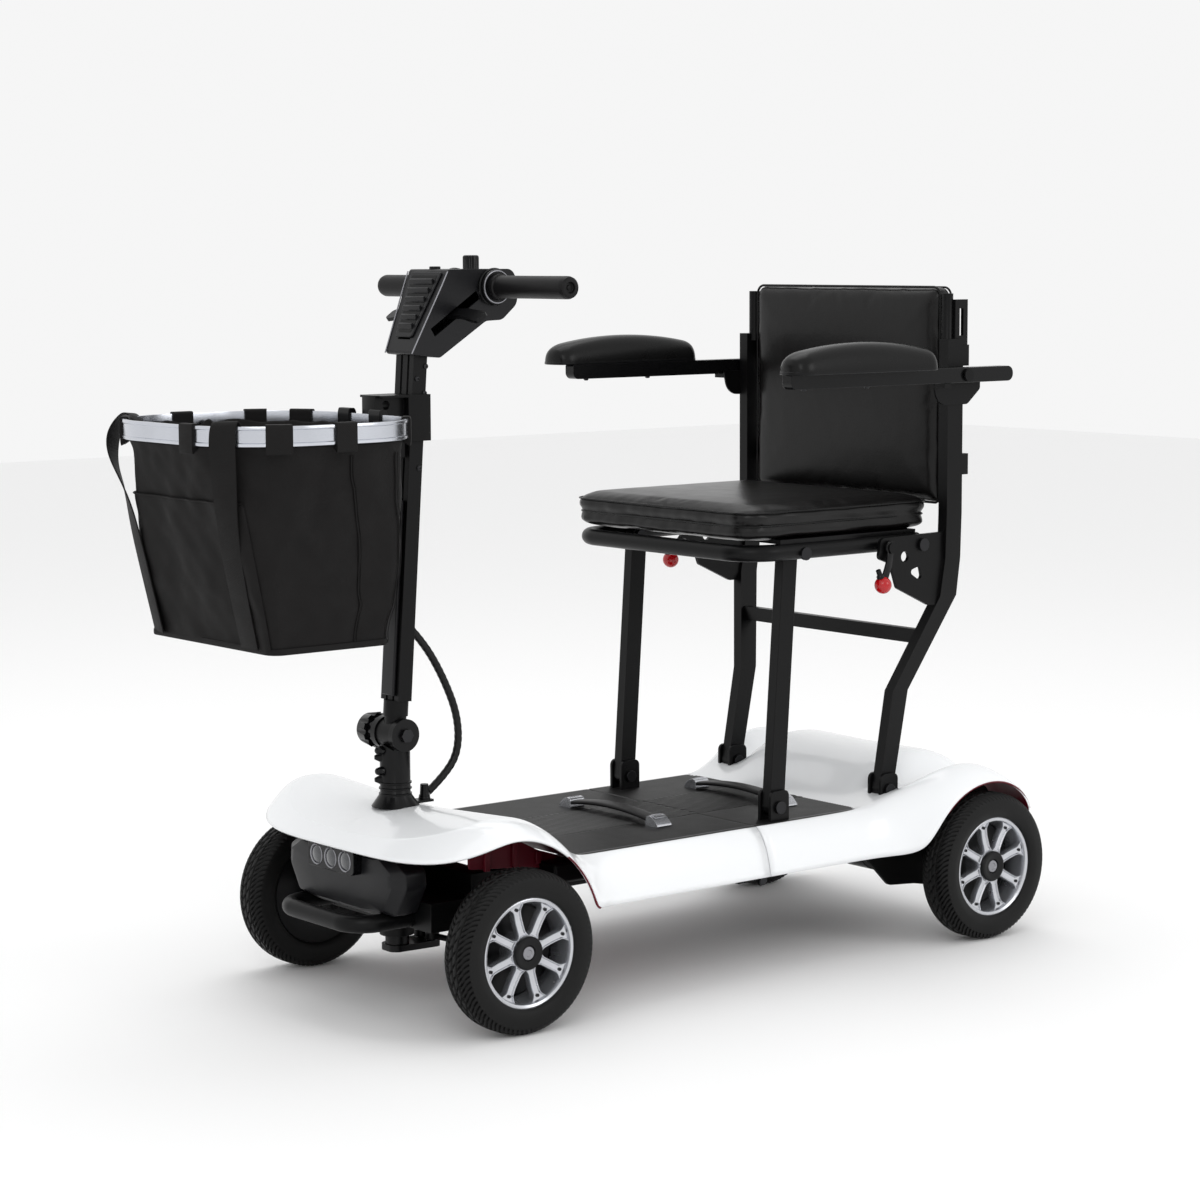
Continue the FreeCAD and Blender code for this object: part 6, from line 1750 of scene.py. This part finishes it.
@dataclass
class Seat(Upholstery):
    """The seat cushion and the backrest."""

    def build(self) -> None:
        """Makes both pads with their piping."""
        self._cushion()
        self._backrest()

    def _cushion(self) -> None:
        """A two layer cushion pinched along the middle of its sides."""
        levels = [(150, 561), (60, 561), (14, 561.5), (5, 563.5), (2.2, 568), (3.0, 573), (6.5, 577),
                  (9.5, 579), (6.0, 581), (2.0, 585), (0.8, 590), (3.0, 595.5), (10, 600), (26, 603.5),
                  (60, 606), (100, 607), (150, 607.4)]
        plan = (34, 22, 185.5, 126.5, 460)
        rings = self.pad(levels, *plan)
        shape = self.closed(rings)
        shape = self.puffed("cushion_work", shape)
        shape = self._wrinkled(shape, np.array([0, 290, 600]), 2)
        obj = self.shop.piece("cushion_leather", shape, LEATHER, "seat",
                              Dress(subdivide=1, sharp_degrees=180), ("seat_cushion",))
        piping = self.pad([(7.0, 579)], *plan)[0]
        upper = self.pad([(3.6, 596.4)], *plan)[0]
        trim = tube(piping, 1.5, 10, closed=True) + tube(upper, 1.1, 8, closed=True)
        self.shop.piece("cushion_piping", trim, PAD_SKIN, "seat")

    @staticmethod
    def _wrinkled(shape: Shape, middle: np.ndarray, seed: int) -> Shape:
        """Faint creases that fade towards the middle of the pad.

        Args:
            shape: The pad.
            middle: Its middle, in mm.
            seed: Chooses the creases.

        Returns:
            The creased pad.
        """
        points = shape.points / MM
        reach = np.abs((points - middle) / (186, 160, 160))
        edge = ease((reach.max(1) - 0.55) / 0.4)
        crease = ripple(points * (1, 0.45, 1.0), 26, seed) * 0.55 + ripple(points, 80, seed + 1) * 0.8
        push = (crease * (0.25 + edge))[:, None]
        outward = points - middle
        outward /= np.linalg.norm(outward, axis=1, keepdims=True)
        return Shape((points + outward * push) * MM, shape.faces)

    def _backrest(self) -> None:
        """An upright pad whose leather wraps over the top bar of its frame."""
        levels = [(120, 497), (40, 497), (10, 496.5), (3.5, 494.5), (1.0, 489), (0.6, 481),
                  (1.8, 474), (5.0, 470), (13, 467), (34, 465), (70, 463.4), (120, 462.6)]
        plan = (10, 15, 185, 590, 882.5)
        rings = self.pad(levels, *plan)
        lean = rings[..., [0, 2, 1]]
        shape = Shape(lean.reshape(-1, 3) * MM, self.closed(rings).faces)
        shape = self.puffed("backrest_work", shape)
        shape = self._wrinkled(shape, np.array([0, 480, 740]), 12)
        obj = self.shop.piece("backrest_leather", shape, LEATHER, "seat_back",
                              Dress(subdivide=1, sharp_degrees=180), ("backrest",))
        ring = self.pad([(2.2, 472.2), (2.8, 492.5)], *plan)[..., [0, 2, 1]]
        trim = tube(ring[0], 1.7, 10, up=(0, 1, 0), closed=True)
        trim = trim + tube(ring[1], 1.5, 10, up=(0, 1, 0), closed=True)
        self.shop.piece("backrest_piping", trim, PAD_SKIN, "seat_back")


@dataclass
class Armrest:
    """A moulded arm pad on its folding tube."""

    shop: Workshop
    name: str
    side: float

    def build(self) -> None:
        """Makes the pad, its base lip and the screws under it."""
        body = f"armrest_{self.name}"
        y = np.linspace(143, 393, 70)
        t = (y - 143) / 250
        tip = np.sqrt(np.clip(1 - (1 - np.clip(t / 0.10, 0, 1)) ** 2.2, 0, 1))
        tail = np.sqrt(np.clip(1 - (1 - np.clip((1 - t) / 0.07, 0, 1)) ** 2.4, 0, 1))
        half = 25.6 * (0.30 + 0.70 * np.minimum(tip, tail))
        crown = 0.36 + 0.64 * np.sin(np.pi * np.clip(0.06 + 0.86 * t, 0, 1)) ** 0.62
        height = 36.0 * crown * (0.45 + 0.55 * np.minimum(tip, tail))
        angle = np.linspace(0, 2 * np.pi, 44, endpoint=False)
        c, s = np.cos(angle), np.sin(angle)
        across = np.sign(c) * np.abs(c) ** (2 / 2.7)
        up = np.where(s > 0, np.abs(s) ** (2 / 2.1), -0.02 * np.abs(s) ** 0.3)
        x = self.side * (242 + half[:, None] * across[None, :])
        z = 777.5 + height[:, None] * np.clip(up, -0.02, 1)[None, :]
        pad = np.stack([x, np.broadcast_to(y[:, None], x.shape), z], -1)
        obj = self.shop.piece(f"arm_pad_{self.name}", surface(pad * MM, wrap_cols=True, cap=True),
                              PAD_SKIN, body, Dress(subdivide=1, sharp_degrees=75),
                              (f"armrest_pad_{self.name}",))
        plan = np.stack([242 + np.concatenate([half, -half[::-1]]), np.concatenate([y, y[::-1]])], -1)
        lip = slab(plan, 774.6, 779.0)
        lip = Shape(lip.points * (self.side, 1, 1), lip.faces)
        self.shop.piece(f"arm_lip_{self.name}", lip, BLACK_CASE, body, Dress(bevel_mm=1.1))
        screws = None
        for place in (190.0, 300.0):
            head = lathe([(3.4, 0), (3.4, -2.2), (2.4, -3.4), (0.2, -3.6)],
                         (self.side * 222, place, 755.8), 20, "Z")
            screws = head if screws is None else screws + head
        self.shop.piece(f"arm_screws_{self.name}", screws, DARK_BOLT, body)
        self.shop.refined(f"armrest_tube_{self.name}", BLACK_TUBE, 0.8)


@dataclass
class Latch:
    """The folding latch: a flat lever with a red ball."""

    shop: Workshop
    name: str
    side: float
    ball_place: tuple[float, float, float] = (0.216, 0.337, 0.494)
    tilt_degrees: float = 24.0

    def build(self) -> None:
        """Makes the ball and the lever under it."""
        body = f"latch_{self.name}"
        ball = lathe([(0.2, 11.6), (3.2, 11.2), (6.6, 9.6), (9.4, 6.8), (11.1, 3.2), (11.5, 0), (11.1, -3.2),
                      (9.4, -6.8), (6.6, -9.6), (3.2, -11.2), (0.2, -11.6)], (0, 0, 0), 48, "Z")
        x, y, z = self.ball_place
        ball = ball.turned(self.tilt_degrees, "X", (0, 0, 0)).moved(self.side * x, y, z)
        self.shop.piece(f"latch_ball_{self.name}", ball, RED_BALL, body,
                        Dress(subdivide=1, sharp_degrees=180), (f"latch_lever_{self.name}",))
        path = spline([(207, 359, 541), (208, 357, 532), (212, 352, 522), (214.5, 346, 513),
                       (216, 341, 505), (216, 338.5, 499)], 24)
        lever = sweep(path, rounded([(-5.5, -1.8), (5.5, -1.8), (5.5, 1.8), (-5.5, 1.8)], 1.0, 3),
                      up=(1, 0, 0))
        boss = lathe([(9.0, 204.5), (9.0, 208.6), (8.0, 209.6), (5.0, 209.9), (4.6, 211.2), (0.2, 211.6)],
                     (0, 359, 541), 40)
        neck = lathe([(5.2, 0), (5.2, 3), (3.6, 5), (3.4, 12)], (0, 0, 0), 24, "Z")
        neck = neck.turned(self.tilt_degrees, "X", (0, 0, 0)).moved(x, y - 0.004, z + 0.0095)
        whole = lever + boss + neck
        if self.side < 0:
            whole = whole.mirrored()
        self.shop.piece(f"latch_arm_{self.name}", whole, BLACK_TUBE, body, Dress(bevel_mm=0.5))


@dataclass
class Underpinnings:
    """The frame parts that keep their shape and get softened edges and their finishes."""

    shop: Workshop

    def build(self) -> None:
        """Refines every frame part that no other class makes."""
        coated = ("front_frame", "rear_frame", "seat_feet", "front_legs", "seat_back_frame",
                  "seat_frame", "knuckle_left", "knuckle_right", "tie_rod_left", "tie_rod_right",
                  "tube_bumper")
        for node in coated:
            self.shop.refined(node, BLACK_COAT, 0.7)
        for node in ("fold_hinge_pins", "seat_foot_bolts", "seat_pivot_bolts", "pivot_bolt"):
            self.shop.refined(node, DARK_BOLT, 0.4)
        for node in ("battery_pack", "controller", "transaxle"):
            self.shop.refined(node, BLACK_CASE, 1.6)


# ---- studio ---------------------------------------------------------------
@dataclass
class Studio:
    """The camera, the floor, the sky and three soft lamps."""

    place: tuple[float, float, float] = (3.0321, -2.3892, 0.9338)
    azimuth: float = 51.354
    elevation: float = 6.690
    roll: float = -0.268
    lens: float = 89.98
    sky_strength: float = 0.92

    def camera(self) -> None:
        """Sets the scene's camera."""
        data = bpy.data.cameras.new("view")
        data.lens = self.lens
        data.sensor_width = 36.0
        obj = bpy.data.objects.new("view", data)
        a, e, r = (math.radians(v) for v in (self.azimuth, self.elevation, self.roll))
        back = Vector((math.sin(a) * math.cos(e), -math.cos(a) * math.cos(e), math.sin(e)))
        right = (-back).cross(Vector((0, 0, 1))).normalized()
        up = back.cross(right)
        tilted_right = right * math.cos(r) + up * math.sin(r)
        tilted_up = -right * math.sin(r) + up * math.cos(r)
        turn = Matrix((tilted_right, tilted_up, back)).transposed().to_4x4()
        obj.matrix_world = Matrix.Translation(self.place) @ turn
        bpy.context.scene.collection.objects.link(obj)
        bpy.context.scene.camera = obj

    def room(self) -> None:
        """Makes the floor, the pale sky and the lamps."""
        floor = surface(np.array([[(-9, -9, 0), (9, -9, 0)], [(-9, 9, 0), (9, 9, 0)]], float))
        mesh = bpy.data.meshes.new("floor")
        mesh.from_pydata(floor.points.tolist(), [], [(0, 1, 3, 2)])
        obj = bpy.data.objects.new("floor", mesh)
        pale = bpy.data.materials.new("pale_floor")
        pale.use_nodes = True
        shader = pale.node_tree.nodes["Principled BSDF"]
        shader.inputs["Base Color"].default_value = (0.93, 0.93, 0.93, 1)
        shader.inputs["Roughness"].default_value = 0.85
        mesh.materials.append(pale)
        bpy.context.scene.collection.objects.link(obj)
        world = bpy.data.worlds.new("pale_sky")
        bpy.context.scene.world = world
        world.use_nodes = True
        sky = world.node_tree.nodes["Background"]
        sky.inputs["Color"].default_value = (1, 1, 1, 1)
        sky.inputs["Strength"].default_value = self.sky_strength
        bpy.context.scene.view_settings.view_transform = "Standard"
        self._lamp("front_lamp", (2.6, -2.4, 2.6), (0, 0, 0.4), 1.8, 20)
        self._lamp("side_lamp", (3.2, 1.6, 1.9), (0, 0.1, 0.5), 1.4, 14)
        self._lamp("top_lamp", (-0.8, 0.4, 3.4), (0, 0, 0.4), 2.4, 26)

    @staticmethod
    def _lamp(name: str, place: Points, target: Points, size: float, power: float) -> None:
        """A square lamp turned towards a point.

        Args:
            name: Its name.
            place: Where it stands.
            target: What it lights.
            size: Its side.
            power: Its power in watts.
        """
        data = bpy.data.lights.new(name, "AREA")
        data.size = size
        data.energy = power
        obj = bpy.data.objects.new(name, data)
        obj.location = place
        obj.rotation_euler = (Vector(place) - Vector(target)).to_track_quat("Z", "Y").to_euler()
        bpy.context.scene.collection.objects.link(obj)


def build_scooter(frame: dict) -> None:
    """Makes every piece of the scooter.

    Args:
        frame: The loaded frame.
    """
    shop = Workshop(frame)
    Cable(shop).build()
    for name, x, y in (("front_left", WHEEL_X, FRONT_AXLE_Y), ("front_right", -WHEEL_X, FRONT_AXLE_Y),
                       ("rear_left", WHEEL_X, REAR_AXLE_Y), ("rear_right", -WHEEL_X, REAR_AXLE_Y)):
        Wheel(shop, name, x, y).build()
    FrontCover(shop).build()
    RearCover(shop).build()
    DeckMat(shop, "front_deck_mat", "front_chassis", MAT_FRONT_Y, FRONT_FOLD_Y).build()
    DeckMat(shop, "rear_deck_mat", "rear_chassis", REAR_FOLD_Y, MAT_REAR_Y).build()
    CarryHandle(shop, "front_carry_handle", "front_chassis", 58).build()
    CarryHandle(shop, "rear_carry_handle", "rear_chassis", 278).build()
    FrontEnd(shop).build()
    Steering(shop).build()
    Tiller(shop).build()
    Console(shop).build()
    Basket(shop).build()
    Seat(shop).build()
    for name, side in (("left", 1.0), ("right", -1.0)):
        Armrest(shop, name, side).build()
        Latch(shop, name, side).build()
    Underpinnings(shop).build()


def main(frame: dict) -> None:
    """Builds the studio and the scooter.

    Args:
        frame: The loaded frame.
    """
    logging.basicConfig(level=logging.INFO, format="%(message)s")
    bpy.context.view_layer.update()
    studio = Studio()
    studio.camera()
    build_scooter(frame)
    studio.room()
    bpy.context.view_layer.update()


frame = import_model()

if __name__ == "__main__":
    main(frame)
